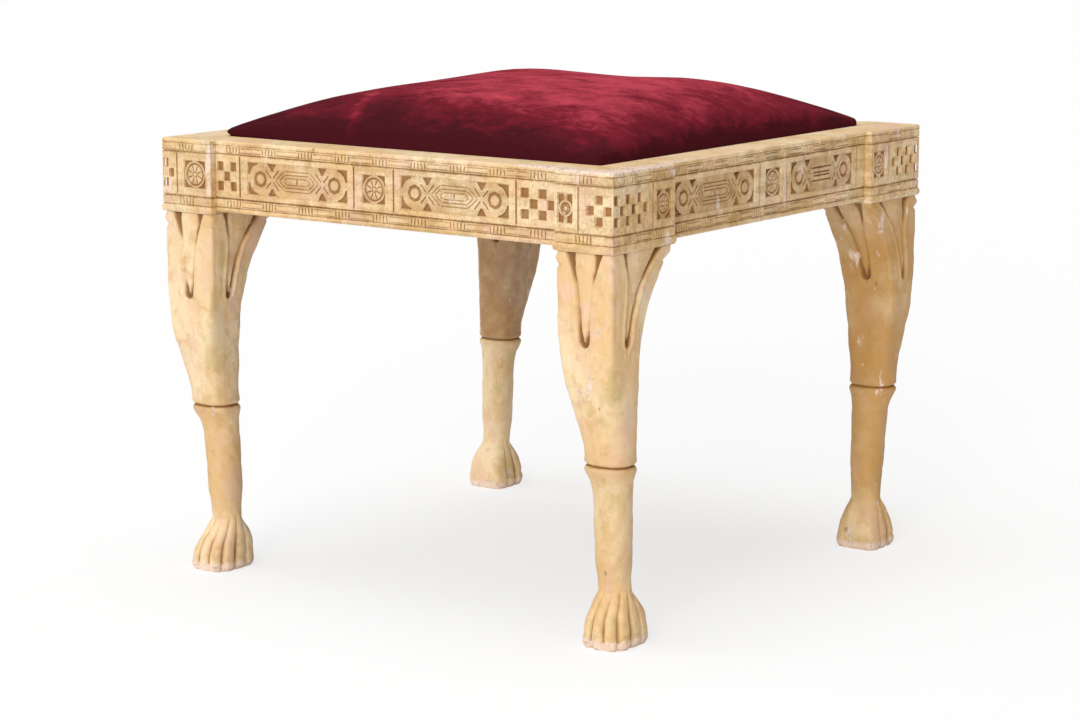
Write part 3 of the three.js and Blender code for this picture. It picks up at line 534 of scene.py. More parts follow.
@dataclass(frozen=True)
class Velvet:
    """Crimson velvet whose pile lies this way and that, with painted light: lighter towards the top, the right and the
    back, and a painted highlight at the front right.
    """

    name: str = "velvet_finish"
    deep: tuple = colour(62, 5, 18)
    full: tuple = colour(114, 18, 38)
    bright: tuple = colour(198, 70, 88)
    sheen: tuple = colour(205, 60, 88)
    lean: tuple[float, float, float] = (0.3, 0.1, 9.5)  # Painted light: how much lighter the velvet is made along x, y and z, most of all towards the top
    middle: float = 0.487  # Height where it is neither light nor dark, in metres
    line: tuple[float, float, float] = (0.896, 0.444, 0.173)  # The brushed line: its normal, and how far off it lies
    glow: tuple[Point, Point] = ((0.19, 0.055), (-0.165, 0.085))  # The painted highlight: its place and reach, by axis

    def material(self) -> Material:
        """Builds the velvet.

        Returns:
            The finished material.
        """
        board = Board(self.name)
        brushed = board.noise(board.place((1.0, 1.3, 1.0)), 6.5, 3, 0.5, 0.8)
        stroke = board.noise(board.place((0.85, 1.2, 1.5)), 19, 7, 0.72, 0.5)
        hair = board.noise(board.place((0.8, 1.0, 1.4)), 130, 4, 0.7, 0.3)
        pile = board.noise(board.place(), 1900, 2)
        across, along = board.axis("X"), board.axis("Y")
        # Painted light: the velvet lighter towards the top, where the light falls, and towards the right and the back
        rise = (board.axis("Z") - self.middle) * self.lean[2] + across * self.lean[0] + along * self.lean[1]
        slide = across * self.line[0] + along * self.line[1] + self.line[2] + (brushed - 0.5) * 0.03
        front = 1 - along.band(-0.17, -0.1)
        ridge = (1 - slide.away_from(0.0).band(0.0, 0.012)) * front
        trough = (1 - slide.away_from(0.034).band(0.0, 0.034)) * front
        # Painted highlight: a bright patch towards the front right of the seat
        spot = [(axis - place) * (1 / reach) for axis, (place, reach) in zip((across, along), self.glow)]
        glow = 1 - (spot[0] * spot[0] + spot[1] * spot[1] + (stroke - 0.5) * 1.2).band(0.1, 1.3)
        # The brushed pile, with the painted light and the painted highlight added to it
        nap_and_light = brushed * 0.32 + stroke * 0.75 + (hair - 0.5) * 0.3 + rise - 0.22
        nap_and_light = nap_and_light + ridge * 0.13 - trough * 0.1 + glow * 0.1
        tone = board.mixed(nap_and_light.band(0.14, 0.42), self.deep, self.full)
        tone = board.mixed((nap_and_light + (pile - 0.5) * 0.1).band(0.34, 0.68), tone, self.bright)
        tone = board.mixed(pile.band(0.45, 0.7) * 0.25, tone, self.deep)
        return board.surface(
            {
                "Base Color": tone,
                "Roughness": 0.85,
                "Specular IOR Level": 0.12,
                "Sheen Weight": 0.22,
                "Sheen Roughness": 0.35,
                "Sheen Tint": self.sheen,
                "Normal": board.bump(pile + stroke * 1.6 + hair, 0.0005, 0.55),
            }
        )


@dataclass(frozen=True)
class Wadding:
    """Loose pale filling under the cover."""

    name: str = "wadding_finish"

    def material(self) -> Material:
        """Builds the filling.

        Returns:
            The finished material.
        """
        board = Board(self.name)
        fluff = board.noise(board.place(), 160, 6, 0.7, 0.4)
        tone = board.mixed(fluff.band(0.35, 0.65), colour(238, 232, 220), colour(204, 192, 172))
        return board.surface({"Base Color": tone, "Roughness": 0.95, "Normal": board.bump(fluff, 0.001)})


@dataclass(frozen=True)
class PaleFloor:
    """Plain white floor, which keeps the stool's soft shadow."""

    name: str = "floor_finish"
    lift: float = 0.7

    def material(self) -> Material:
        """Builds the floor.

        Returns:
            The finished material.
        """
        board = Board(self.name)
        seen = board.add("ShaderNodeLightPath", {}, {}, "Is Camera Ray")
        seen = seen.greatest(board.add("ShaderNodeLightPath", {}, {}, "Is Glossy Ray"))
        plain = board.add("ShaderNodeBsdfDiffuse", {}, {"Color": colour(246, 247, 250)})
        white = board.add("ShaderNodeEmission", {}, {"Color": (1, 1, 1, 1), "Strength": 1.0})
        board.add_output(board.add("ShaderNodeMixShader", {}, {0: seen * self.lift, 1: plain, 2: white}))
        return board.material


class Bench:
    """Steps of modelling by hand, in object and edit mode."""

    @staticmethod
    def clear() -> None:
        """Deselects everything."""
        if bpy.context.object and bpy.context.object.mode != "OBJECT":
            bpy.ops.object.mode_set(mode="OBJECT")
        bpy.ops.object.select_all(action="DESELECT")

    @staticmethod
    def pick(piece: Piece) -> None:
        """Makes this piece the only one selected.

        Args:
            piece: The piece.
        """
        Bench.clear()
        piece.select_set(True)
        bpy.context.view_layer.objects.active = piece

    @staticmethod
    def named(name: str) -> Piece:
        """Names the active piece and its mesh.

        Args:
            name: The name.

        Returns:
            The piece.
        """
        piece = bpy.context.object
        piece.name = piece.data.name = name
        return piece

    @staticmethod
    def edit() -> None:
        """Goes into edit mode with everything selected."""
        bpy.ops.object.mode_set(mode="EDIT")
        bpy.ops.mesh.select_all(action="SELECT")

    @staticmethod
    def select_edges(piece: Piece, wanted: Callable[[bmesh.types.BMEdge], bool]) -> None:
        """Selects the edges that pass a test.

        Args:
            piece: The piece in edit mode.
            wanted: The test.
        """
        mesh = bmesh.from_edit_mesh(piece.data)
        for edge in mesh.edges:
            edge.select = wanted(edge)
        bmesh.update_edit_mesh(piece.data)

    @staticmethod
    def extrude(x: float, y: float, z: float) -> None:
        """Extrudes what is selected by a step in metres."""
        bpy.ops.mesh.extrude_region_move(TRANSFORM_OT_translate={"value": (x, y, z)})

    @staticmethod
    def close_up() -> None:
        """Turns all faces outward and leaves edit mode."""
        bpy.ops.mesh.select_all(action="SELECT")
        bpy.ops.mesh.normals_make_consistent(inside=False)
        bpy.ops.object.mode_set(mode="OBJECT")

    @staticmethod
    def settle(piece: Piece) -> None:
        """Puts the piece's own place and turn into its mesh."""
        piece.data.transform(piece.matrix_world)
        piece.matrix_world = Matrix.Identity(4)

    @staticmethod
    def apply(piece: Piece, kind: str, **settings: object) -> None:
        """Adds a modifier with these settings and applies it.

        Args:
            piece: The piece.
            kind: The modifier's type.
            settings: Its settings by name.
        """
        Bench.pick(piece)
        modifier = piece.modifiers.new(kind.lower(), kind)
        for key, value in settings.items():
            setattr(modifier, key, value)
        bpy.ops.object.modifier_apply(modifier=modifier.name)

    @staticmethod
    def combine(piece: Piece, other: Piece, operation: str) -> None:
        """Cuts or joins another piece into this one and removes the other."""
        Bench.apply(piece, "BOOLEAN", operation=operation, solver="EXACT", use_self=True, object=other)
        bpy.data.objects.remove(other)

    @staticmethod
    def smooth(piece: Piece, degrees: float) -> None:
        """Shades smooth except over edges sharper than this."""
        Bench.pick(piece)
        bpy.ops.object.shade_smooth_by_angle(angle=math.radians(degrees))

    @staticmethod
    def copy(piece: Piece, name: str, change: Matrix) -> Piece:
        """Copies a piece with its own mesh, moved or mirrored by a matrix.

        Args:
            piece: The pattern.
            name: The copy's name.
            change: Where the copy goes.

        Returns:
            The copy.
        """
        twin = piece.copy()
        twin.data = piece.data.copy()
        twin.name = twin.data.name = name
        bpy.context.scene.collection.objects.link(twin)
        twin.data.transform(change)
        if change.determinant() < 0:
            twin.data.flip_normals()
        return twin

    @staticmethod
    def box(name: str, low: Sequence[float], high: Sequence[float]) -> Piece:
        """A block between two corners given in millimetres.

        Args:
            name: Its name.
            low: The lowest corner.
            high: The highest corner.

        Returns:
            The new piece.
        """
        Bench.clear()
        middle = [(a + b) / 2 * MM for a, b in zip(low, high)]
        scale = [(b - a) * MM for a, b in zip(low, high)]
        bpy.ops.mesh.primitive_cube_add(size=1, location=middle)
        bpy.context.object.scale = scale
        bpy.context.view_layer.update()
        piece = Bench.named(name)
        Bench.settle(piece)
        return piece

    @staticmethod
    def prism(name: str, outline: Sequence[Sequence[float]], reach: Sequence[float]) -> Piece:
        """An outline of points in millimetres, filled and extruded by reach.

        Args:
            name: Its name.
            outline: Its points.
            reach: How far it is extruded.

        Returns:
            The new piece.
        """
        Bench.clear()
        bpy.ops.mesh.primitive_circle_add(vertices=len(outline), radius=1, fill_type="NGON")
        piece = Bench.named(name)
        for vertex, point in zip(piece.data.vertices, outline):
            vertex.co = [value * MM for value in point]
        Bench.edit()
        Bench.extrude(*(value * MM for value in reach))
        Bench.close_up()
        return piece

    @staticmethod
    def points(piece: Piece) -> Array:
        """The piece's points in millimetres.

        Args:
            piece: The piece.

        Returns:
            One row for every point.
        """
        flat = np.empty(len(piece.data.vertices) * 3)
        piece.data.vertices.foreach_get("co", flat)
        return flat.reshape(-1, 3) / MM

    @staticmethod
    def move(piece: Piece, points: Array) -> None:
        """Puts the piece's points where they are given, in millimetres."""
        piece.data.vertices.foreach_set("co", (points * MM).astype(np.float32).ravel())
        piece.data.update()

    @staticmethod
    def mark(piece: Piece, name: str, values: Array, domain: str = "POINT") -> None:
        """Keeps a value on every point or face of the piece."""
        layer = piece.data.attributes.new(name, "FLOAT", domain)
        layer.data.foreach_set("value", np.clip(values, 0, 1).astype(np.float32))


def finish_piece(
    piece: Piece, material: Material, body: str, nodes: Iterable[str] = ()
) -> None:
    """Dresses a piece and ties it to the frame.

    Args:
        piece: The finished mesh.
        material: Its finish.
        body: The moving body it rides on.
        nodes: The frame's nodes that it stands for.
    """
    piece.data.materials.clear()
    piece.data.materials.append(material)
    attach(piece, body)
    if nodes:
        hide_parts(*nodes)
    LOG.info("%s: %d faces, on %s", piece.name, len(piece.data.polygons), body)


def worn_faces(piece: Piece, widest: float = 0.55) -> Array:
    """Finds the narrow faces that round an outward edge.

    Args:
        piece: A piece whose edges are bevelled.
        widest: Width in millimetres above which a face is no bevel.

    Returns:
        One value from 0 to 1 for every face.
    """
    shape = bmesh.new()
    shape.from_mesh(piece.data)
    shape.normal_update()
    worn = np.zeros(len(shape.faces))
    for face in shape.faces:
        longest = max(edge.calc_length() for edge in face.edges)
        if face.calc_area() < longest * widest * MM:
            bends = [edge.calc_face_angle_signed(0) for edge in face.edges if len(edge.link_faces) == 2]
            if sum(1 for bend in bends if bend > 0.2) >= 2 and min(bends) > -0.3:
                worn[face.index] = 1.0
    shape.free()
    return worn


class FaceCarver:
    """Cutters for one upright face, with place along it and height, and the wood behind the face.

    The face lies at depth 0. On a side face, place and depth change over.
    """

    def __init__(self, name: str, face: float, sideways: bool = False) -> None:
        """Starts with no cutter on a face at this depth.

        Args:
            name: The cutters' name.
            face: Depth of the face.
            sideways: Whether it is a side face.
        """
        Bench.clear()
        bpy.ops.mesh.primitive_plane_add(size=0.001)
        self.piece = Bench.named(name)
        self.face = face
        self.sideways = sideways
        Bench.edit()
        bpy.ops.mesh.delete(type="VERT")

    def _point(self, place: float, deep: float, height: float) -> tuple[float, float, float]:
        """A point on the face in metres."""
        depth = self.face + deep
        return (depth * MM, place * MM, height * MM) if self.sideways else (place * MM, depth * MM, height * MM)

    def pocket(self, outline: Sequence[Point], deep: float, taper: float = 0.86, lead: float = 2.0) -> None:
        """Cuts a pocket whose walls lean in towards its floor.

        Args:
            outline: Its points at the surface, in place and height.
            deep: Its depth.
            taper: Size of its floor against its mouth.
            lead: How far the cutter stands out of the face.
        """
        middle = [sum(point[k] for point in outline) / len(outline) for k in (0, 1)]
        bpy.ops.mesh.select_all(action="DESELECT")
        bpy.ops.mesh.primitive_circle_add(vertices=len(outline), radius=0.001, fill_type="NGON")
        mesh = bmesh.from_edit_mesh(self.piece.data)
        spread = 1 + (1 - taper) * lead / deep
        chosen = [vertex for vertex in mesh.verts if vertex.select]
        for vertex, point in zip(chosen, outline):
            spot = [middle[k] + (point[k] - middle[k]) * spread for k in (0, 1)]
            vertex.co = self._point(spot[0], -lead, spot[1])
        bmesh.update_edit_mesh(self.piece.data)
        reach = (deep + lead) * MM
        Bench.extrude(*((reach, 0, 0) if self.sideways else (0, reach, 0)))
        bpy.ops.transform.resize(value=[taper / spread] * 3, center_override=self._point(middle[0], deep, middle[1]))

    def groove(self, start: Point, end: Point, wide: float, deep: float) -> None:
        """Cuts a straight line with slanted walls between two points.

        Args:
            start: Where its middle line begins.
            end: Where that ends.
            wide: Its width.
            deep: Its depth.
        """
        first, last = np.array(start, float), np.array(end, float)
        along = last - first
        across = np.array([-along[1], along[0]]) / np.linalg.norm(along) * wide / 2
        tip = along / np.linalg.norm(along) * wide / 2
        corners = [first - across, last - across, last + tip, last + across, first + across, first - tip]
        self.pocket([tuple(corner) for corner in corners], deep, 0.97, lead=1.2)

    def ring(self, place: float, height: float, radius: float, thick: float, sunk: float, sides: int = 32) -> None:
        """Cuts a round groove, or one of a few sides.

        Args:
            place: Its middle along the face.
            height: Its middle's height.
            radius: Its radius.
            thick: Half its width.
            sunk: How far its middle lies out of the wood.
            sides: Its number of sides.
        """
        bpy.ops.mesh.select_all(action="DESELECT")
        turn = (0, math.pi / 2, 0) if self.sideways else (math.pi / 2, 0, 0)
        bpy.ops.mesh.primitive_torus_add(
            location=self._point(place, -sunk, height), rotation=turn, major_segments=sides, minor_segments=10,
            major_radius=radius * MM, minor_radius=thick * MM,
        )

    def spandrel(self, corner: Point, centre: Point, radius: float, deep: float) -> None:
        """Cuts the corner left between a rectangle's corner and a circle.

        Args:
            corner: The rectangle's corner.
            centre: The circle's centre.
            radius: The circle's radius.
            deep: The depth.
        """
        toward = [math.copysign(1, corner[k] - centre[k]) for k in (0, 1)]
        reach = [abs(corner[k] - centre[k]) for k in (0, 1)]
        flat = math.degrees(math.asin(min(reach[1] / radius, 1)))
        steep = math.degrees(math.acos(min(reach[0] / radius, 1)))
        arc = [
            (centre[0] + toward[0] * radius * math.cos(math.radians(a)),
             centre[1] + toward[1] * radius * math.sin(math.radians(a)))
            for a in np.linspace(max(steep, 12), min(flat, 78), 6)
        ]
        self.pocket([corner, (corner[0], arc[0][1]), *arc, (arc[-1][0], corner[1])], deep, 0.8)

    def done(self) -> Piece:
        """Closes the cutters with their faces outward.

        Returns:
            The cutters as one piece.
        """
        Bench.close_up()
        return self.piece


@dataclass
class Frieze:
    """The carved frieze: its panels and the groups of short lines on the mouldings."""

    deep: float = 2.7
    field: float = 1.0
    border: float = 5.4
    cell: float = 10.0
    ring: float = 6.9
    loop: float = 15.2
    cross: float = 15.5
    groove_deep: float = 1.8
    groove_taper: float = 0.93
    pocket_inset: float = 0.2
    pocket_taper: float = 0.82
    rosette_high: float = 14.0
    petals: int = 8
    cut: tuple[float, float, float] = (6.2, 1.2, 8.0)  # The sunk piece over a crossing: half its width, tip, height
    # The crossing straps' edges: how far out from the boss and off the middle line each begins and ends
    straps: tuple[tuple[Point, Point], ...] = (((7.8, 8.8), (13.7, 2.4)), ((17.3, -2.4), (23.7, -9.8)))
    strap_wide: float = 1.25
    strap_rows: tuple[Point, ...] = ((4.6, 10.0), (9.6, 6.4), (15.5, 3.2))  # Each: in from the crossing, and rise
    bars: tuple[Point, ...] = ((13.0, 1.6), (9.0, 6.6))  # Each: in from the crossing, and height off the middle
    strips: tuple[Point, ...] = ((5.4, 6.4), (59.7, 7.2))  # The two lined mouldings: drop from the top, and height
    line_wide: float = 1.55
    line_step: float = 4.2
    group_step: float = 46.0

    def panel(self, carver: FaceCarver, kind: Panel, start: float, end: float) -> None:
        """Cuts one panel between two places along a face.

        Args:
            carver: The face to cut.
            kind: The kind of panel.
            start: Where it begins.
            end: Where it ends.
        """
        cut = {
            Panel.CHEQUER: self._chequer,
            Panel.SHIFTED: self._shifted,
            Panel.STRAPWORK: self._strapwork,
            Panel.BARRED: self._barred,
            Panel.ROSETTE: self._rosette,
            Panel.GROOVE: self._divider,
        }
        cut[kind](carver, start, end)

    def _divider(self, carver: FaceCarver, start: float, end: float) -> None:
        """Cuts an upright groove over the whole height of the frieze.

        Args:
            carver: The face to cut.
            start: Where it begins.
            end: Where it ends.
        """
        reach = SIZES.frieze_high / 2 - 0.4
        bottom, top = SIZES.frieze_middle - reach, SIZES.frieze_middle + reach
        outline = [(start, bottom), (end, bottom), (end, top), (start, top)]
        carver.pocket(outline, self.groove_deep, self.groove_taper)

    def _chequer(self, carver: FaceCarver, start: float, end: float, first: int = 0) -> None:
        """Cuts every second cell of a chequered field.

        Args:
            carver: The face to cut.
            start: Where it begins.
            end: Where it ends.
            first: 1 where it begins with its middle cell.
        """
        columns = max(round((end - start) / self.cell), 1)
        wide = (end - start) / columns
        for column in range(columns):
            for row in range(-1, 2):
                if (column + row + first) % 2 == 1:
                    left = start + column * wide + self.pocket_inset
                    right = left + wide - 2 * self.pocket_inset
                    low = SIZES.frieze_middle + (row - 0.5) * self.cell + self.pocket_inset
                    high = low + self.cell - 2 * self.pocket_inset
                    outline = [(left, low), (right, low), (right, high), (left, high)]
                    carver.pocket(outline, self.deep, self.pocket_taper)

    def _shifted(self, carver: FaceCarver, start: float, end: float) -> None:
        """Cuts a chequered field that begins with its middle cell."""
        self._chequer(carver, start, end, 1)

    def _rosette(self, carver: FaceCarver, start: float, end: float) -> None:
        """Cuts the corners around a round rosette and the rings and petals on it.

        Args:
            carver: The face to cut.
            start: Where it begins.
            end: Where it ends.
        """
        middle, height, high = (start + end) / 2, SIZES.frieze_middle, self.rosette_high
        half = min((end - start) / 2, high)
        self._sunk_field(carver, middle - half - 0.6, middle + half + 0.6, high + 0.6)
        for across in (-1, 1):
            for up in (-1, 1):
                corner = (middle + across * half, height + up * high)
                carver.spandrel(corner, (middle, height), half - 0.3, self.deep)
        carver.ring(middle, height, half - 3.2, 1.15, -self.field)
        carver.ring(middle, height, 2.6, 0.95, -self.field)
        for petal in range(self.petals):
            angle = math.tau * (petal + 0.5) / self.petals
            near, far = [(middle + r * math.cos(angle), height + r * math.sin(angle)) for r in (4.3, half - 5.0)]
            carver.groove(near, far, 1.4, self.field + 0.9)

    def _sunk_field(self, carver: FaceCarver, start: float, end: float, reach: float) -> None:
        """Sinks the field inside a panel's raised border a little."""
        low, high = SIZES.frieze_middle - reach, SIZES.frieze_middle + reach
        carver.pocket([(start, low), (end, low), (end, high), (start, high)], self.field, 0.99)

    def _ends(self, carver: FaceCarver, start: float, end: float) -> tuple[float, float]:
        """Cuts the ringed bosses of a long panel, the sunk corners round them and the crossing straps.

        Args:
            carver: The face to cut.
            start: Where it begins.
            end: Where it ends.

        Returns:
            The places of the two crossings.
        """
        reach = SIZES.frieze_high / 2 - self.border
        height = SIZES.frieze_middle
        crossings = []
        self._sunk_field(carver, start + self.border - 0.6, end - self.border + 0.6, reach + 0.6)
        for edge, inward in ((start, 1), (end, -1)):
            boss = edge + inward * (self.border + reach + 0.6)
            middle = boss + inward * self.cross
            carver.ring(boss, height, self.ring, 1.8, -self.field + 0.1, 8)
            for up in (-1, 1):
                base = height + up * reach
                carver.spandrel((edge + inward * self.border, base), (boss, height), self.loop, self.deep)
                half, tip, high = self.cut
                low = base - up * high
                outline = [(middle - half, base), (middle + half, base), (middle + tip, low), (middle - tip, low)]
                carver.pocket(outline, self.deep, 0.8)
                for ends in self.straps:
                    near, far = [(boss + inward * out, height + up * off) for out, off in ends]
                    carver.groove(near, far, 1.3, self.field + 1.0)
            crossings.append(middle)
        return crossings[0], crossings[1]

    def _strapwork(self, carver: FaceCarver, start: float, end: float) -> None:
        """Cuts a long panel whose straps cross and enclose a long six-sided field.

        Args:
            carver: The face to cut.
            start: Where it begins.
            end: Where it ends.
        """
        left, right = self._ends(carver, start, end)
        height = SIZES.frieze_middle
        for near, rise in self.strap_rows:
            low, high = left + near, right - near
            flank = rise * 1.15
            path = [(low, height), (low + flank, height + rise), (high - flank, height + rise)]
            path += [(high, height), (high - flank, height - rise), (low + flank, height - rise)]
            for spot, following in zip(path, path[1:] + path[:1]):
                gap = 1.0 / math.dist(spot, following)
                ends = [tuple(a + (b - a) * k for a, b in zip(spot, following)) for k in (gap, 1 - gap)]
                carver.groove(*ends, self.strap_wide, self.field + 0.6)
        middle = (left + right) / 2
        carver.groove((middle, height - 2.0), (middle, height + 2.0), 1.6, self.field + 1.2)

    def _barred(self, carver: FaceCarver, start: float, end: float) -> None:
        """Cuts the shorter long panel, with two flat bars between its bosses.

        Args:
            carver: The face to cut.
            start: Where it begins.
            end: Where it ends.
        """
        left, right = self._ends(carver, start, end)
        height = SIZES.frieze_middle
        for up in (-1, 1):
            for near, off in self.bars:
                level = height + up * off
                carver.groove((left + near, level), (right - near, level), 1.7, self.field + 1.1)

    def lines(self, carver: FaceCarver, start: float, end: float) -> None:
        """Cuts the groups of short lines on the mouldings over and under the panels."""
        for drop, high in self.strips:
            self._strip(carver, start, end, drop, high)

    def _strip(self, carver: FaceCarver, start: float, end: float, drop: float, high: float) -> None:
        """Cuts groups of short upright lines along a moulding, with outlined tablets between them.

        Args:
            carver: The face to cut.
            start: Where it begins.
            end: Where it ends.
            drop: How far under the top it lies.
            high: Its height.
        """
        groups = max(int((end - start) / self.group_step), 1)
        step = (end - start) / groups
        top, bottom = SIZES.height - drop - 0.6, SIZES.height - drop - high + 0.6
        for group in range(groups):
            middle = start + step * (group + 0.5)
            for line in range(5):
                place = middle + (line - 2) * self.line_step
                lean = 0.4 * math.sin(group * 2.1 + line * 1.3)
                if start + 2 < place < end - 2:
                    carver.groove((place + lean, bottom), (place - lean, top), self.line_wide, 1.3)
            left, right = middle + 2.6 * self.line_step, middle + step - 2.6 * self.line_step
            if right - left > 8 and right < end:
                for level in (bottom + 0.4, top - 0.4):
                    carver.groove((left, level), (right, level), 1.2, 1.0)


@dataclass
class Moulding:
    """The profile that blocks and rails share: how far out it stands at each drop from the top."""

    round: float = 2.6
    quirk: float = 1.7
    quirk_deep: float = 1.6
    bead: float = 1.3

    def rows(self, height: float) -> list[tuple[float, float]]:
        """Profile from the top down.

        Args:
            height: Height of the piece.

        Returns:
            Pairs of reach and drop.
        """
        turns = np.linspace(0, math.pi / 2, 5)
        arc = [(-self.round * (1 - math.sin(a)), self.round * (1 - math.cos(a))) for a in turns]
        low = SIZES.frieze_top + SIZES.frieze_high
        bead_top = low + self.quirk + 8.0
        bead_high = height - bead_top - 0.8
        shares = (0.0, 0.16, 0.34, 0.5, 0.66, 0.84, 1.0)
        bead = [(self.bead * math.sin(t * math.pi), bead_top + 0.6 + bead_high * t) for t in shares]
        return [
            *arc, (0.0, 4.0), (-0.7, 4.5), (0.0, 5.0), (0.0, SIZES.frieze_top - self.quirk),
            (-self.quirk_deep, SIZES.frieze_top - self.quirk / 2), (0.0, SIZES.frieze_top), (0.0, low),
            (-self.quirk_deep, low + self.quirk / 2), (0.0, low + self.quirk), (0.0, bead_top - 0.3),
            (-0.8, bead_top + 0.3), *bead, (-self.quirk_deep, height),
        ]

    def surface(self, height: float, z: Array) -> Array:
        """Reach of the plain profile at each height, without its quirks."""
        return np.where(z < SIZES.height - height + 3.5, self.bead / 2, 0.0)


@dataclass
class CornerBlock:
    """One kind of corner block, built in its corner's frame and copied to two corners."""

    corners: tuple[Corner, Corner]
    face: Panels
    side: Panels
    moulding: Moulding = field(default_factory=Moulding)
    frieze: Frieze = field(default_factory=Frieze)

    def _outline(self, reach: float, height: float) -> list[tuple[float, float, float]]:
        """The block's plan at one height, with the moulding returned at its two ends.

        Args:
            reach: How far the moulding stands out.
            height: The height.

        Returns:
            Eight points.
        """
        wide, long, turn = SIZES.block_width, SIZES.block_depth, SIZES.setback - 1.6
        plan = [
            (-reach, -reach), (wide + reach, -reach), (wide + reach, turn), (wide, turn),
            (wide, long), (turn, long), (turn, long + reach), (-reach, long + reach),
        ]
        return [(x, y, height) for x, y in plan]

    def _stack(self) -> Piece:
        """The moulded block: a circle of eight points extruded row by row, then set to the plan of each row.

        Returns:
            The new piece.
        """
        rows = [(reach, SIZES.height - drop) for reach, drop in reversed(self.moulding.rows(SIZES.apron))]
        Bench.clear()
        bpy.ops.mesh.primitive_circle_add(vertices=8, radius=1, fill_type="NGON")
        piece = Bench.named("corner_block")
        Bench.edit()
        for _ in rows[1:]:
            Bench.extrude(0, 0, 1)
        bpy.ops.object.mode_set(mode="OBJECT")
        plans = np.array([self._outline(*row) for row in rows])
        raw = Bench.points(piece) * MM
        place = np.rint(np.arctan2(raw[:, 1], raw[:, 0]) / (math.pi / 4)).astype(int) % 8
        Bench.move(piece, plans[np.rint(raw[:, 2]).astype(int), place])
        Bench.edit()
        bpy.ops.mesh.remove_doubles(threshold=1e-6)
        Bench.close_up()
        return piece

    def _carve(self, piece: Piece) -> None:
        """Cuts the panels and lines of the two outer faces.

        Args:
            piece: The block.
        """
        faces = ((SIZES.block_width, self.face, False), (SIZES.block_depth, self.side, True))
        for length, panels, sideways in faces:
            carver = FaceCarver("block_cutters", 0.0, sideways)
            for kind, begin, finish in panels:
                self.frieze.panel(carver, kind, begin, finish)
            self.frieze.lines(carver, 3.0, length - 3.0)
            Bench.combine(piece, carver.done(), "DIFFERENCE")

    def build(self, finish: Material) -> None:
        """Builds the block and puts it on its corners.

        Args:
            finish: Their finish.
        """
        piece = self._stack()
        low = (SIZES.inset, SIZES.inset, SIZES.ledge_top)
        high = (SIZES.block_width + 4, SIZES.block_depth + 4, SIZES.height + 4)
        Bench.combine(piece, Bench.box("notch", low, high), "DIFFERENCE")
        self._carve(piece)
        carved_finish(piece, 0.0)
        for corner in self.corners:
            twin = Bench.copy(piece, f"carved_block_{corner.label}", corner_place(*corner.value))
            finish_piece(twin, finish, "frame", [f"corner_block_{corner.label}"])
        bpy.data.objects.remove(piece)


def carved_finish(piece: Piece, face: float, bevel: float = 0.45, darkest: float = 2.8) -> None:
    """Softens a carved piece's edges and marks its hollows, worn edges and unpainted inner side.

    Args:
        piece: The carved piece, with its outer faces towards low x and low y.
        face: Depth of the plain outer face, or zero where x counts as well.
        bevel: Width of its softened edges.
        darkest: Depth at which the glaze is darkest.
    """
    Bench.apply(piece, "BEVEL", width=bevel * MM, segments=2, limit_method="ANGLE", angle_limit=math.radians(38))
    Bench.smooth(piece, 34)
    points = Bench.points(piece)
    depth = points[:, 1] - face if face else np.minimum(points[:, 0], points[:, 1])
    reach = Moulding().surface(SIZES.height - points[:, 2].min(), points[:, 2])
    deep = depth + reach
    # Proud of the face this is no number, and the faces there, with the block pockets' walls, come out unstained
    stain = np.clip((deep / darkest) ** 1.3, 0, 0.66)
    Bench.mark(piece, "glaze", np.where(deep < 4.5, stain, 0) * (points[:, 2] < SIZES.height - 2.7))
    Bench.mark(piece, "bare", (depth > SIZES.inset - face - 2) * (points[:, 2] < SIZES.height - 2))
    Bench.mark(piece, "moulded", depth < SIZES.inset - face - 1)
    Bench.mark(piece, "wear", worn_faces(piece), "FACE")


def corner_place(across: int, along: int) -> Matrix:
    """Matrix from a corner's own frame to the stool's."""
    shift = Matrix.Translation((across * SIZES.width / 2 * MM, along * SIZES.depth / 2 * MM, 0))
    return shift @ Matrix.Diagonal((-across, -along, 1, 1))


@dataclass
class FrameRail:
    """One kind of frieze rail, built along x and copied to two opposite sides."""

    sides: tuple[Side, Side]
    span: float
    block: float
    across: float
    panels: Panels
    moulding: Moulding = field(default_factory=Moulding)
    frieze: Frieze = field(default_factory=Frieze)

    def build(self, finishes: dict[Side, Material]) -> None:
        """Builds the rail and puts it on its sides.

        Args:
            finishes: The finish for each side.
        """
        high = SIZES.apron - SIZES.rail_drop
        half = self.span / 2 - self.block - SIZES.gap
        rows = self.moulding.rows(high)
        profile = [(-half, SIZES.setback - reach, SIZES.height - drop) for reach, drop in rows]
        bottom = SIZES.height - high
        profile += [(-half, SIZES.inset, bottom), (-half, SIZES.inset, SIZES.height)]
        piece = Bench.prism("frame_rail", profile, (2 * half, 0, 0))
        carver = FaceCarver("rail_cutters", SIZES.setback)
        for kind, start, end in self.panels:
            self.frieze.panel(carver, kind, start - self.span / 2, end - self.span / 2)
        self.frieze.lines(carver, -half, half)
        Bench.combine(piece, carver.done(), "DIFFERENCE")
        carved_finish(piece, SIZES.setback)
        for side in self.sides:
            turn = Matrix.Rotation(side.value * math.pi / 2, 4, "Z")
            shift = Matrix.Translation((0, -self.across / 2 * MM, 0))
            twin = Bench.copy(piece, f"frieze_rail_{side.label}", turn @ shift)
            finish_piece(twin, finishes[side], "frame", [f"rail_{side.label}"])
        bpy.data.objects.remove(piece)


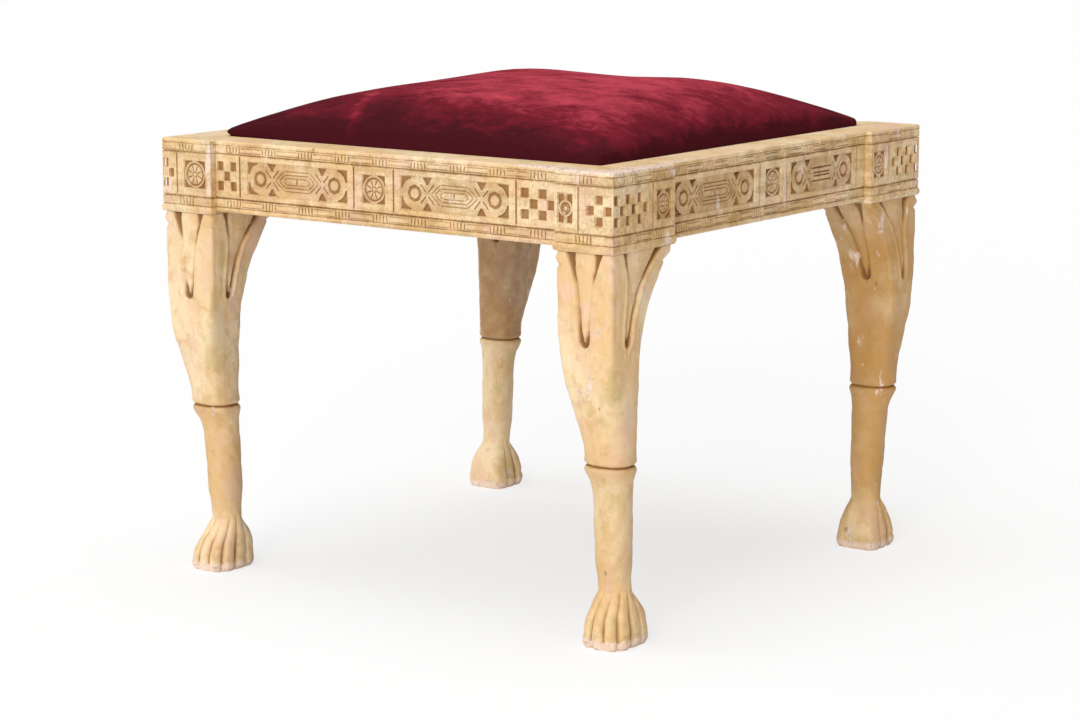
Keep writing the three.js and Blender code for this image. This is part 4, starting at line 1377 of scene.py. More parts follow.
@dataclass
class LionLeg:
    """The carved leg: a leaf-carved thigh, a round shank and a toed paw, built once for all corners."""

    columns: int = 208
    cuts: tuple[int, int] = (14, 15)
    toe_deep: float = 3.6
    toe_turn: float = math.radians(32.7)
    knee: float = 176.5
    leaf_from: float = 280.0  # Height over which the leaf is carved
    paw_to: float = 60.0  # Height under which the paw is carved
    # Rows of height, outer and inner side, front and back, and squareness of the section
    sections: tuple[tuple[float, ...], ...] = (
        (0, 4.5, 52.5, 17, 73.5, 3.0), (6, 3, 54, 15.5, 75, 3.0), (15, 3.8, 53, 15.5, 75, 2.8),
        (30, 6.2, 50.4, 18.5, 73, 2.6), (42, 8.6, 48.2, 26.5, 67.5, 2.4), (52, 12.6, 45, 35, 61.5, 2.2),
        (62, 13.6, 45, 33.5, 61.5, 2.2), (80, 12.8, 46.2, 29.5, 64, 2.2), (100, 11.6, 47, 28.8, 63, 2.2),
        (120, 10.6, 47.6, 28.4, 61.5, 2.2), (140, 10, 47.8, 27.6, 60.5, 2.2), (152, 9.2, 48.4, 26.2, 60, 2.2),
        (160, 7.6, 49.8, 23.6, 59.4, 2.2), (167, 5.0, 52.0, 19.2, 59.6, 2.3), (173, 4.2, 52.6, 17.8, 59.6, 2.3),
        (183, 4.4, 52, 18, 59.2, 2.4), (195, 4.3, 52, 16, 59.5, 2.6), (210, 4, 54, 13, 58.5, 2.9),
        (225, 3.2, 56, 9, 57, 3.4), (240, 2.5, 57.5, 5, 55, 4.2), (255, 1.5, 59.5, 2, 53, 5.4),
        (270, 1, 61.5, 1, 51, 7.0), (285, 0.5, 63, 0.5, 51, 8.0), (300, 0.5, 64.5, 0.5, 53, 9.0),
        (315, 0.5, 65, 0.5, 57, 9.5), (330, 0.5, 65, 0.5, 64.5, 10.0), (345, 0.5, 65.5, 0.5, 73.5, 11.0),
        (360, 0.5, 65.5, 0.5, 84, 13.0), (372, 0.5, 65.5, 0.5, 94, 14.0), (380.1, 0.5, 65.5, 0.5, 101.5, 14.0),
    )
    # The hollow on each face, by height: its half width as a share of the face's, how far in its petal begins,
    # its depth and its stain
    hollow: tuple[Point, ...] = (
        (291.2, 0.0), (292.2, 0.085), (294, 0.145), (297, 0.175), (306, 0.195), (320, 0.215), (335, 0.25),
        (345, 0.285), (355, 0.36), (366, 0.47), (373, 0.54), (381, 0.64),
    )
    gap: tuple[Point, ...] = (
        (292, 7.0), (299, 4.6), (308, 3.0), (345, 2.6), (358, 3.2), (366, 4.2), (373, 6.0), (381, 10.0),
    )
    depth: tuple[Point, ...] = ((291, 3.0), (296, 4.4), (308, 3.8), (330, 3.1), (348, 3.1), (362, 3.9), (381, 4.6))
    stain: tuple[Point, ...] = (
        (288, 0.0), (292, 1.0), (300, 1.0), (311, 0.75), (326, 0.55), (350, 0.5), (361, 0.9), (381, 0.9),
    )
    # Each leg: how brown its inward side is and how ochre its thigh and its shank are, both painted shade, and how far
    # the shank stands in
    looks: tuple[tuple[Corner, float, float, float, float], ...] = (
        (Corner.FRONT_LEFT, 0.1, 0.05, 0.25, 4.2), (Corner.FRONT_RIGHT, 0.1, 0.0, 0.3, 0.0),
        (Corner.BACK_RIGHT, 0.1, 0.8, 0.75, 0.0), (Corner.BACK_LEFT, 0.58, 0.0, 0.0, 0.0),
    )

    def _blank(self) -> Piece:
        """A cylinder with many rows, ready to be shaped.

        Returns:
            The new piece.
        """
        Bench.clear()
        high = SIZES.leg_top * MM
        bpy.ops.mesh.primitive_cylinder_add(
            vertices=self.columns, radius=0.03, depth=high, location=(0, 0, high / 2), end_fill_type="NGON"
        )
        piece = Bench.named("carved_leg")
        Bench.settle(piece)
        bpy.ops.object.mode_set(mode="EDIT")
        bpy.ops.mesh.select_mode(type="EDGE")
        bpy.ops.mesh.select_all(action="DESELECT")
        for cuts in self.cuts:
            Bench.select_edges(piece, lambda edge: abs(edge.verts[0].co.z - edge.verts[1].co.z) > high / 100)
            bpy.ops.mesh.subdivide(number_cuts=cuts)
        bpy.ops.object.mode_set(mode="OBJECT")
        return piece

    @property
    def rows(self) -> int:
        """Number of rows of points."""
        return (self.cuts[0] + 1) * (self.cuts[1] + 1) + 1

    def _heights(self) -> Array:
        """Heights of the rows, closest together over the carving and the paw.

        Returns:
            One height for every row.
        """
        share = np.linspace(0, 1, self.rows)
        places = (0.0, 0.06, 0.3, 0.42, 0.5, 0.62, 1.0)
        heights = (0.0, 8.0, 60.0, 160.0, 184.0, 284.0, SIZES.leg_top)
        return np.interp(share, places, heights)

    def _section(self, z: Array) -> Array:
        """Sides and squareness of the plain leg at each height.

        Args:
            z: The heights.

        Returns:
            The four sides and the squareness at each.
        """
        heights, *sides = np.array(self.sections).T
        fine = np.linspace(-8, SIZES.leg_top + 8, 800)
        kernel = np.hanning(17)
        kernel /= kernel.sum()
        columns = []
        for side in sides:
            soft = np.convolve(np.pad(np.interp(fine, heights, side), 8, mode="edge"), kernel, mode="valid")
            columns.append(np.interp(z, fine, soft))
        return np.stack(columns, axis=-1)

    def _leaf_relief(self, across: Array, half: Array, z: Array) -> Array:
        """Height of the leaf carving on the thigh.

        Args:
            across: Place on the face, from -1 at one arris to 1 at the other.
            half: Half width of the face there, in millimetres.
            z: Height of the point.

        Returns:
            How far the surface stands out, in millimetres.
        """
        hollow = np.interp(z, *zip(*self.hollow))
        gap, deep = np.interp(z, *zip(*self.gap)), np.interp(z, *zip(*self.depth))
        spot = np.abs(across)
        inside = (hollow - spot) * half
        on_petal = inside - gap
        keel = np.clip(on_petal / np.maximum(hollow * half - gap, 0.1), 0, 1)
        joined = self._joined(across, z)
        deep = deep * (1 - 0.5 * joined)
        relief = -deep * ramp(inside, -1.2, 1.6)
        relief += (deep - 0.3 - 1.8 * (1 - 0.5 * joined) * (1 - keel)) * ramp(on_petal, -1.3, 1.1)
        lip = np.where(inside < 0, np.sin(np.clip(-inside / 6.0, 0, 1) * math.pi) ** 1.2, 0)
        relief += 1.3 * ramp(z, 286, 296) * (0.4 + 0.6 * (1 - ramp(z, 330, 362))) * lip
        arris = (1 - spot) * half
        rib = ramp(z, 282, 306) * (1 - ramp(z, 362, 369))
        relief += 0.8 * rib * bell(arris, 0, 3.4) - 0.45 * rib * bell(arris, 6.5, 2.8)
        relief += 1.9 * bell(arris, 0, 6.2) * bell(z, 373.5, 3.6)
        relief -= 1.3 * bell(arris + 0.4 * (z - 368), 0, 7.5) * bell(z, 367.0, 1.6) * (arris < 10)
        return relief * ramp(z, 280, 287)

    def _joined(self, across: Array, z: Array) -> Array:
        """Where a petal runs into the leaf beside it, on the side of the leg's outermost arris."""
        return ramp(-across, -0.02, 0.1) * ramp(z, 300, 312) * (1 - ramp(z, 350, 360))

    def _leaf_stain(self, across: Array, half: Array, z: Array) -> Array:
        """How much glaze lies in the leaf carving's hollows, from 0 to 1.

        Args:
            across: Place on the face, from -1 to 1.
            half: Half width of the face.
            z: Height.

        Returns:
            The share of glaze.
        """
        hollow, gap = np.interp(z, *zip(*self.hollow)), np.interp(z, *zip(*self.gap))
        inside = (hollow - np.abs(across)) * half
        lying = ramp(inside, -1.3, 1.7) * (1 - ramp(inside - gap, -1.7, 1.5))
        return lying * np.interp(z, *zip(*self.stain)) * (1 - 0.55 * self._joined(across, z))

    def _toe_wave(self, turn: Array, z: Array) -> Array:
        """How deep the grooves between the toes are, from 0 to 1.

        Args:
            turn: The turn from the paw's front, in toes.
            z: Height.

        Returns:
            The share of the full depth.
        """
        share = np.interp(z, (0, 4, 14, 26, 38, 50, 60), (0.75, 1.0, 1.0, 0.92, 0.74, 0.45, 0.0))
        front = 1 - ramp(np.abs(turn), 3.3, 3.6)
        return share * front * (1 - np.abs(np.cos(math.pi * turn))) ** 1.5

    def _paw_relief(self, turn: Array, z: Array) -> Array:
        """Height of the toes, from the turn away from the paw's front, in toes.

        Args:
            turn: The turn from the paw's front, in toes.
            z: Height.

        Returns:
            How far the surface stands out.
        """
        wave = (1 - np.abs(np.cos(math.pi * turn))) ** 1.5
        front = 1 - ramp(np.abs(turn), 3.3, 3.6)
        relief = -self.toe_deep * self._toe_wave(turn, z)
        relief += (bell(z, 21, 8.0) + 0.6 * bell(z, 7, 4.5) - 0.8 * bell(z, 12.8, 1.8)) * (1 - wave) * front
        return relief - 1.4 * (1 - ramp(z, 0.0, 4.5)) ** 2

    def _knee_relief(self, z: Array) -> Array:
        """Height of the groove at the knee and the roll under it."""
        rolls = 0.8 * bell(z, self.knee - 5.0, 2.6) + 0.7 * bell(z, self.knee + 4.5, 3.0)
        return rolls - 2.4 * bell(z, self.knee, 1.5)

    @staticmethod
    def _dents(turn: Array, z: Array) -> Array:
        """Knocks and uneven tool marks all over the leg.

        Args:
            turn: The turn from the leg's front.
            z: Height.

        Returns:
            How far the surface stands out.
        """
        chance = np.random.default_rng(7)
        relief = np.zeros_like(z)
        for _ in range(60):
            where, height = chance.uniform(-math.pi, math.pi), chance.uniform(4, 372)
            wide, tall, deep = chance.uniform(0.03, 0.09), chance.uniform(1.2, 4.5), chance.uniform(0.15, 0.55)
            apart = np.abs(np.angle(np.exp(1j * (turn - where))))
            relief -= deep * bell(apart, 0, wide) * bell(z, height, tall)
        for count in range(1, 6):
            phase, tilt = chance.uniform(0, 6.28), chance.uniform(0.02, 0.09)
            relief += 0.13 * np.sin(count * 2 * turn + phase + tilt * z * count)
        return relief

    def _shape(self, angle: Array, z: Array) -> tuple[Array, Array]:
        """The leg's points from their angle and height, and the glaze in its hollows.

        Args:
            angle: Angle of each point on the blank.
            z: Its height.

        Returns:
            The points, and their share of glaze.
        """
        sides = self._section(z)
        outer, inner, front, back, square = [sides[..., k] for k in range(5)]
        half_x, half_y = (inner - outer) / 2, (back - front) / 2
        cosine, sine = np.cos(angle), np.sin(angle)
        square = square + 2.2 * ramp(sine, 0.1, 0.6) * (1 - ramp(z, 26, 50))
        unit = (np.abs(cosine) ** square + np.abs(sine) ** square) ** (-1 / square)
        u, v = unit * cosine, unit * sine
        normal_x = np.sign(u) * np.abs(u) ** (square - 1) / half_x
        normal_y = np.sign(v) * np.abs(v) ** (square - 1) / half_y
        length = np.hypot(normal_x, normal_y)
        largest = np.maximum(np.abs(u), np.abs(v))
        on_side = np.abs(u) >= np.abs(v)
        across = np.where(on_side, v, u) / largest
        half = np.where(on_side, half_y, half_x)
        turn = np.arctan2(u, -v)
        relief = np.where(z > self.leaf_from, self._leaf_relief(across, half, z), 0)
        relief += np.where(z < self.paw_to, self._paw_relief(turn / self.toe_turn, z), 0)
        relief += self._knee_relief(z) + self._dents(turn, z) * ramp(z, 1, 6) * (1 - ramp(z, 372, 379))
        line = bell(z, self.leaf_from + 1 + 0.8 * np.sin(turn * 3), 0.8)
        relief -= 0.55 * line * (0.6 + 0.4 * np.sin(turn * 5 + 1))
        x = (outer + inner) / 2 + half_x * u + relief * normal_x / length
        y = (front + back) / 2 + half_y * v + relief * normal_y / length
        toes = self._toe_wave(turn / self.toe_turn, z) * ramp(z, 4, 10)
        stain = np.where(z > self.leaf_from, self._leaf_stain(across, half, z), 0.75 * toes**1.6)
        return np.stack([x, y, z], axis=-1), stain

    @staticmethod
    def _curvature(grid: Array, reach: int) -> Array:
        """How far each point stands out from its neighbours at this distance, in millimetres.

        Args:
            grid: The points by row and column.
            reach: The distance in rows and columns.

        Returns:
            The height of each point over its neighbours.
        """
        around = np.roll(grid, reach, 1) + np.roll(grid, -reach, 1)
        padded = np.pad(grid, ((reach, reach), (0, 0), (0, 0)), mode="edge")
        above = padded[2 * reach:] + padded[: -2 * reach]
        along = np.roll(grid, -1, 1) - np.roll(grid, 1, 1)
        upward = np.gradient(grid, axis=0)
        normal = np.cross(along, upward)
        normal /= np.maximum(np.linalg.norm(normal, axis=-1, keepdims=True), 1e-9)
        return ((grid - (around + above) / 4) * normal).sum(-1)

    def build(self, finish: Material) -> None:
        """Builds the leg and puts it on every corner.

        Args:
            finish: Their finish.
        """
        piece = self._blank()
        raw = Bench.points(piece)
        angle = np.arctan2(raw[:, 1], raw[:, 0])
        row = np.rint(raw[:, 2] / SIZES.leg_top * (self.rows - 1)).astype(int)
        column = np.rint(angle / (2 * math.pi) * self.columns).astype(int) % self.columns
        z = self._heights()[:, None]
        grid_angle = 2 * math.pi * np.arange(self.columns) / self.columns
        grid, stain = self._shape(*np.broadcast_arrays(grid_angle[None, :], z))
        Bench.move(piece, grid[row, column])
        Bench.smooth(piece, 60)
        near = self._curvature(grid, 3)
        paw = 1 - ramp(z, 52, 62)
        hollow = np.maximum(stain, 0.95 * bell(z, self.knee, 1.3))
        worn = np.clip(near * 1.1 - 0.3, 0, 0.6) * (0.4 + 0.6 * paw) + 0.4 * bell(z, self.knee - 6.0, 4.5) + 0.34 * paw
        worn += 0.75 * (1.0 - ramp(z, 1, 17))
        turned = np.stack([np.cos(grid_angle), np.sin(grid_angle)])
        # Painted shade: the inward faces above the knee, browned by each leg's own amount
        inner = ramp(turned.max(0) - (-turned).max(0), -0.16, 0.16) * ramp(z, self.knee - 1.5, self.knee + 1.5)
        marks = {"glaze": hollow, "wear": worn, "bare": 0 * worn, "moulded": 0 * worn}
        for name, values in marks.items():
            Bench.mark(piece, name, values[row, column])
        thigh, shin = ramp(z[:, 0], 170, 200), 0.5 + 0.5 * ramp(z[:, 0], 45, 75)
        # Each leg gets its own painted shade: brown on its inward side, and ochre on its thigh and its shank
        for corner, brown, age, shank_painted_shade, lean in self.looks:
            twin = Bench.copy(piece, f"lion_leg_{corner.label}", corner_place(*corner.value))
            Bench.mark(twin, "inner", inner[row, column] * brown)
            Bench.mark(twin, "aged", (age * thigh + shank_painted_shade * (1 - thigh) * shin)[row])
            points = Bench.points(twin)
            share = ramp(points[:, 2], 8, 45) * (1 - ramp(points[:, 2], 110, 265))
            points[:, :2] -= np.array([0.81 * corner.value[0], 0.59 * corner.value[1]]) * (lean * share)[:, None]
            Bench.move(twin, points)
            finish_piece(twin, finish, "frame", [f"leg_{corner.label}"])
        bpy.data.objects.remove(piece)


@dataclass
class SeatCover:
    """The crowned velvet cover, its padding, and the cloths and straps under them."""

    play: float = 1.2
    padding_inset: float = 4.7
    radius: float = 7.0
    rise: float = 3.7
    crown: float = 48.3
    power: float = 2.05
    root: float = 0.37
    drawn: float = 2.5
    # Fuller places of the stuffing: where, as shares of the half sizes, and how much higher
    fuller: tuple[tuple[float, float, float], ...] = (
        (-0.55, -0.1, -0.9), (-0.55, 0.5, 5.6), (0.0, 0.5, -1.2), (0.55, 0.5, 5.6),
    )
    # How far the corners swell out over the frame: which corner and how far
    swell: tuple[tuple[Corner, float], ...] = ((Corner.FRONT_LEFT, 2.5), (Corner.FRONT_RIGHT, -3.0))
    hem: float = 30.0
    cells: tuple[int, int] = (112, 116)
    cap: float = 3.0  # How far the simulated cloth may move a point
    frames: int = 12
    strap_wave: float = 0.95  # How far a strap rises and falls at a crossing

    @property
    def half(self) -> tuple[float, float]:
        """Half sizes of the cover."""
        return SIZES.width / 2 - SIZES.inset - self.play, SIZES.depth / 2 - SIZES.inset - self.play

    def _dome(self, name: str, inset: float, cells: tuple[int, int]) -> Piece:
        """A grid shaped to the crown, set in from the cover's outer side.

        Args:
            name: Its name.
            inset: How far in it lies.
            cells: Its number of cells each way.

        Returns:
            The new piece.
        """
        Bench.clear()
        bpy.ops.mesh.primitive_grid_add(x_subdivisions=cells[0], y_subdivisions=cells[1], size=2)
        piece = Bench.named(name)
        points = np.array([tuple(vertex.co) for vertex in piece.data.vertices])
        share = np.sign(points[:, :2]) * (1 - (1 - np.abs(points[:, :2])) ** 1.25)
        half = np.array(self.half) - inset
        radius = self.radius - inset
        flat = share * half
        beyond = np.clip((np.abs(flat) - (half - radius)) / radius, 0, 1)
        rounded = beyond * np.sqrt(1 - beyond[:, ::-1] ** 2 / 2)
        both = (beyond > 0).all(1)
        flat[both] = np.sign(flat[both]) * (half - radius + radius * rounded[both])
        curve = [np.clip(1 - np.abs(share[:, k]) ** self.power, 0, 1) ** self.root for k in (0, 1)]
        height = self.crown * curve[0] * curve[1]
        lumps = 0.9 * self._uneven(share)
        for across, along, higher in self.fuller:
            lumps += higher * np.exp(-((share[:, 0] - across) ** 2 + (share[:, 1] - along) ** 2) / 0.09)
        height += lumps * np.minimum(curve[0] * curve[1] * 1.4, 1)
        flat -= np.sign(share) * self.drawn * (1 - share[:, ::-1] ** 2) * np.abs(share) ** 3
        for corner, far in self.swell:
            near = np.clip(share * corner.value, 0, 1).prod(1) ** 7
            flat += np.array(corner.value) * (far * near)[:, None]
        z = SIZES.height + self.rise - inset + height
        Bench.move(piece, np.column_stack([flat, z]))
        return piece

    @staticmethod
    def _uneven(share: Array) -> Array:
        """Gentle lumps of the stuffing.

        Args:
            share: Places as shares of the half sizes.

        Returns:
            The height of the lumps.
        """
        chance = np.random.default_rng(11)
        total = np.zeros(len(share))
        for _ in range(14):
            wave, phase = chance.uniform(1.5, 6.5, 2) * chance.choice([-1, 1], 2), chance.uniform(0, 6.28)
            total += np.sin(share @ wave + phase) * 0.3
        return total

    def _skirt(self, piece: Piece, inset: float, steps: Sequence[tuple[float, float]]) -> None:
        """Extrudes the dome's rim down its sides, by inset and height of each step.

        Args:
            piece: The dome.
            inset: How far in it lies.
            steps: Inset and height of each step.
        """
        Bench.pick(piece)
        bpy.ops.object.mode_set(mode="EDIT")
        bpy.ops.mesh.select_mode(type="EDGE")
        bpy.ops.mesh.select_all(action="DESELECT")
        Bench.select_edges(piece, lambda edge: edge.is_boundary)
        radius = self.radius - inset
        half = np.array(self.half) - inset
        for move_in, height in steps:
            Bench.extrude(0, 0, -0.0001)
            mesh = bmesh.from_edit_mesh(piece.data)
            limit = half - move_in
            for vertex in (v for v in mesh.verts if v.select):
                spot = np.array(vertex.co[:2]) / MM
                corner = half - radius
                ahead = np.clip(np.abs(spot) - corner + self.drawn, 0, None)
                if (np.abs(spot) > corner).all():
                    direction = ahead / max(np.linalg.norm(ahead), 1e-6)
                    target = corner + direction * radius - move_in
                else:
                    on_side = int(np.abs(spot)[1] - half[1] > np.abs(spot)[0] - half[0])
                    target = np.abs(spot).copy()
                    target[on_side] = limit[on_side]
                    target[1 - on_side] *= limit[1 - on_side] / half[1 - on_side] if move_in > 2 else 1
                signed = np.sign(spot) * target
                vertex.co = (signed[0] * MM, signed[1] * MM, height * MM)
            bmesh.update_edit_mesh(piece.data)
        bpy.ops.object.mode_set(mode="OBJECT")

    def _puff(self, piece: Piece) -> None:
        """Lets the cloth of the crown swell over its stuffing, its rim held and no point moved past the cap.

        Args:
            piece: The dome.
        """
        before = Bench.points(piece)
        held = piece.vertex_groups.new(name="held")
        rim = before[:, 2] < SIZES.height + self.rise + 5
        held.add([int(i) for i in np.flatnonzero(rim)], 1.0, "REPLACE")
        Bench.pick(piece)
        modifier = piece.modifiers.new("puff", "CLOTH")
        cloth = modifier.settings
        cloth.quality, cloth.mass = 4, 0.3
        cloth.tension_stiffness = cloth.compression_stiffness = 22
        cloth.bending_stiffness = 3
        cloth.use_pressure, cloth.uniform_pressure_force = True, 2.2
        cloth.vertex_group_mass = "held"
        cloth.effector_weights.gravity = 0
        scene = bpy.context.scene
        for step in range(1, self.frames + 1):
            scene.frame_set(step)
        bpy.ops.object.modifier_apply(modifier=modifier.name)
        scene.frame_set(1)
        moved = Bench.points(piece) - before
        length = np.linalg.norm(moved, axis=1, keepdims=True)
        Bench.move(piece, before + moved * np.minimum(1, self.cap / np.maximum(length, 1e-9)))
        piece.vertex_groups.clear()

    def build_cover(self, finish: Material) -> None:
        """Builds the velvet cover with its sides and hem.

        Args:
            finish: Its finish.
        """
        piece = self._dome("velvet_seat_cover", 0.0, self.cells)
        self._puff(piece)
        top, base = SIZES.height, SIZES.ledge_top + SIZES.gap
        sides = [(0, top + 0.7), (0, top - 8), (0, top - 20), (0, base + 1.6), (0.7, base + 0.2)]
        self._skirt(piece, 0.0, [*sides, (2.2, base), (self.hem / 2, base), (self.hem, base)])
        Bench.apply(piece, "SOLIDIFY", thickness=1.3 * MM, offset=-1.0)
        Bench.smooth(piece, 75)
        finish_piece(piece, finish, "seat", ["velvet_cover"])

    def build_padding(self, finish: Material) -> None:
        """Builds the filling under the velvet.

        Args:
            finish: Its finish.
        """
        piece = self._dome("seat_padding", self.padding_inset, (60, 62))
        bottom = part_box("stuffing_pad")[0].z / MM
        self._skirt(piece, self.padding_inset, [(0, bottom + 2.5), (0.6, bottom + 0.6), (2.5, bottom)])
        bpy.ops.object.mode_set(mode="EDIT")
        bpy.ops.mesh.edge_face_add()
        Bench.close_up()
        Bench.smooth(piece, 60)
        finish_piece(piece, finish, "seat", ["stuffing_pad"])

    def _sheet(self, name: str, node: str, cells: tuple[int, int]) -> Piece:
        """A grid over the box of a node, at its underside.

        Args:
            name: Its name.
            node: The node.
            cells: Its number of cells each way.

        Returns:
            The new piece.
        """
        low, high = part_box(node)
        Bench.clear()
        bpy.ops.mesh.primitive_grid_add(x_subdivisions=cells[0], y_subdivisions=cells[1], size=1)
        piece = Bench.named(name)
        points = Bench.points(piece) * MM
        size, middle = np.array(high - low) / MM, np.array((high + low) / 2) / MM
        Bench.move(piece, points * [size[0], size[1], 0] + [middle[0], middle[1], low.z / MM])
        return piece

    @staticmethod
    def _thicken(piece: Piece, points: Array, thick: float) -> None:
        """Shapes a sheet and gives it its thickness upwards.

        Args:
            piece: The sheet.
            points: Its points in millimetres.
            thick: Its thickness.
        """
        Bench.move(piece, points)
        Bench.apply(piece, "SOLIDIFY", thickness=thick * MM, offset=1.0)
        Bench.smooth(piece, 60)

    def build_cloths(self, hessian: Material, dust: Material) -> None:
        """Builds the hessian over the straps and the dust cloth under the seat.

        Args:
            hessian: The hessian's finish.
            dust: The dust cloth's finish.
        """
        sheet = self._sheet("hessian_sheet", "hessian", (60, 62))
        points = Bench.points(sheet)
        points[:, 2] += 0.12 * (1 + np.sin(points[:, 0] / 9.0) * np.sin(points[:, 1] / 11.0))
        self._thicken(sheet, points, 0.7)
        low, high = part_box("hessian")
        finish_piece(sheet, hessian, "seat", ["hessian"])

        cloth = self._sheet("underside_cloth", "dust_cloth", (84, 88))
        points = Bench.points(cloth)
        low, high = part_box("dust_cloth")
        share = points[:, :2] / (np.array([high.x, high.y]) / MM)
        sag = (1 - share[:, 0] ** 2) * (1 - share[:, 1] ** 2)
        points[:, 2] -= 2.6 * sag + 0.5 * sag * np.sin(points[:, 0] / 17 + points[:, 1] / 41)
        points[:, 2] -= 0.25 * sag * np.sin(points[:, 1] / 8.0 - points[:, 0] / 23)
        self._thicken(cloth, points, 0.4)
        finish_piece(cloth, dust, "seat", ["dust_cloth"])

    def build_straps(self, finish: Material) -> None:
        """Builds the six webbing straps, woven over and under each other.

        Args:
            finish: Their finish.
        """
        ways = {"across": ("along", 0), "along": ("across", 1)}
        for way, (other, axis) in ways.items():
            boxes = [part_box(f"webbing_{other}_{k}") for k in (1, 2, 3)]
            crossings = [(low[axis] + high[axis]) / 2 / MM for low, high in boxes]
            for index in (1, 2, 3):
                node = f"webbing_{way}_{index}"
                self._strap(f"jute_strap_{way}_{index}", node, axis, crossings, (index - 1) % 2 == axis, finish)

    def _strap(
        self, name: str, node: str, axis: int, crossings: list[float], over_first: bool, finish: Material
    ) -> None:
        """Builds one strap over its node's box, waved at the crossings.

        Args:
            name: Its name.
            node: Its node.
            axis: The axis it runs across.
            crossings: Where it meets the others.
            over_first: Whether it goes over the first.
            finish: Its finish.
        """
        low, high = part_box(node)
        piece = self._sheet(name, node, (150, 14) if axis == 0 else (14, 150))
        points = Bench.points(piece)
        points[:, 2] = (low.z + high.z) / 2 / MM - 0.7
        for k, crossing in enumerate(crossings):
            sign = 1 if (k % 2 == 0) == over_first else -1
            points[:, 2] += sign * self.strap_wave * (1 - ramp(np.abs(points[:, axis] - crossing), 27, 44))
        side = 1 - axis
        spot = np.abs(points[:, side] - (low[side] + high[side]) / 2 / MM)
        Bench.mark(piece, "stripe", ((spot > 16) & (spot < 21)).astype(float))
        self._thicken(piece, points, 1.4)
        finish_piece(piece, finish, "seat", [node])


@dataclass
class Fixings:
    """Screws of the ledges and braces, and the tacks under the seat."""

    brace_screw: float = 30.0
    ledge_screw: float = 36.0
    pitch: float = 2.4
    slot_wide: float = 1.1
    slot_deep: float = 1.1
    tack: float = 3.1
    tack_inset: float = 5.0
    head: float = 4.3
    shank: float = 2.1

    def _screw(self, length: float) -> Piece:
        """A slotted countersunk screw along -z with its head's top at z = 0.

        Args:
            length: Its length.

        Returns:
            The new piece.
        """
        Bench.clear()
        bpy.ops.mesh.primitive_circle_add(vertices=20, radius=self.head * MM, fill_type="NGON")
        piece = Bench.named("screw")
        Bench.edit()
        rows = [(0.5, self.head), (2.6, self.shank)]
        for thread in range(int((length - 12) / self.pitch)):
            rows += [(8 + thread * self.pitch, self.shank - 0.5), (9.2 + thread * self.pitch, self.shank)]
        rows += [(length - 4, self.shank - 0.4), (length - 0.2, 0.3)]
        at, wide = 0.0, self.head
        for depth, radius in rows:
            Bench.extrude(0, 0, -(depth - at) * MM)
            bpy.ops.transform.resize(value=(radius / wide, radius / wide, 1), center_override=(0, 0, 0))
            at, wide = depth, radius
        Bench.close_up()
        past, half = self.head + 1, self.slot_wide / 2
        slot = Bench.box("slot", (-past, -half, -self.slot_deep), (past, half, 1))
        Bench.combine(piece, slot, "DIFFERENCE")
        Bench.smooth(piece, 35)
        return piece

    def build_screws(self, finish: Material) -> None:
        """Builds the screws where the frame's nodes have them.

        Args:
            finish: Their finish.
        """
        patterns = {"brace": self._screw(self.brace_screw), "ledge": self._screw(self.ledge_screw)}
        places = {f"brace_screw_{corner.label}": None for corner in Corner}
        places |= {f"ledge_screw_{side.label}": side for side in Side}
        for index, (stem, side) in enumerate(places.items()):
            for number in (1, 2):
                low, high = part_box(f"{stem}_{number}")
                middle = (low + high) / 2
                if side is None:
                    place = Vector((middle.x, middle.y, low.z))
                    change = Matrix.Translation(place) @ Matrix.Rotation(math.pi, 4, "X")
                else:
                    turn = Matrix.Rotation(side.value * math.pi / 2, 4, "Z")
                    inward = turn @ Vector((0, 1, 0))
                    place = middle + inward * (high - low).dot(Vector([abs(v) for v in inward])) / 2
                    change = Matrix.Translation(place) @ turn @ Matrix.Rotation(-math.pi / 2, 4, "X")
                change = change @ Matrix.Rotation(0.7 * index + 1.9 * number, 4, "Z")
                kind = "brace" if side is None else "ledge"
                twin = Bench.copy(patterns[kind], f"slotted_{stem}_{number}", change)
                finish_piece(twin, finish, "frame", [f"{stem}_{number}"])
        for pattern in patterns.values():
            bpy.data.objects.remove(pattern)

    def build_tacks(self, finish: Material, spacing: float = 33.0) -> None:
        """Builds the tacks that hold the underside cloth.

        Args:
            finish: Their finish.
            spacing: About how far apart they are.
        """
        low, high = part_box("dust_cloth")
        half = [high.x / MM - self.tack_inset, high.y / MM - self.tack_inset]
        Bench.clear()
        bpy.ops.mesh.primitive_uv_sphere_add(segments=14, ring_count=8, radius=self.tack * MM)
        head = Bench.named("seat_tacks")
        points = Bench.points(head)
        points[:, 2] = np.minimum(points[:, 2] * 0.45, 0.35)
        Bench.move(head, points)
        places = []
        for axis in (0, 1):
            count = int(2 * half[axis] / spacing)
            for step in range(count + 1):
                along = -half[axis] + 2 * half[axis] * step / count
                for side in (-1, 1):
                    spot = (along, side * half[1]) if axis == 0 else (side * half[0], along)
                    if axis == 0 or abs(along) < half[1] - 1:
                        places.append(spot)
        level = low.z / MM - 0.1
        shifts = [Matrix.Translation((x * MM, y * MM, level * MM)) for x, y in places]
        twins = [Bench.copy(head, f"tack_{k}", shift) for k, shift in enumerate(shifts)]
        bpy.data.objects.remove(head)
        Bench.clear()
        for twin in twins:
            twin.select_set(True)
        bpy.context.view_layer.objects.active = twins[0]
        bpy.ops.object.join()
        piece = Bench.named("seat_tacks")
        Bench.smooth(piece, 50)
        finish_piece(piece, finish, "seat")


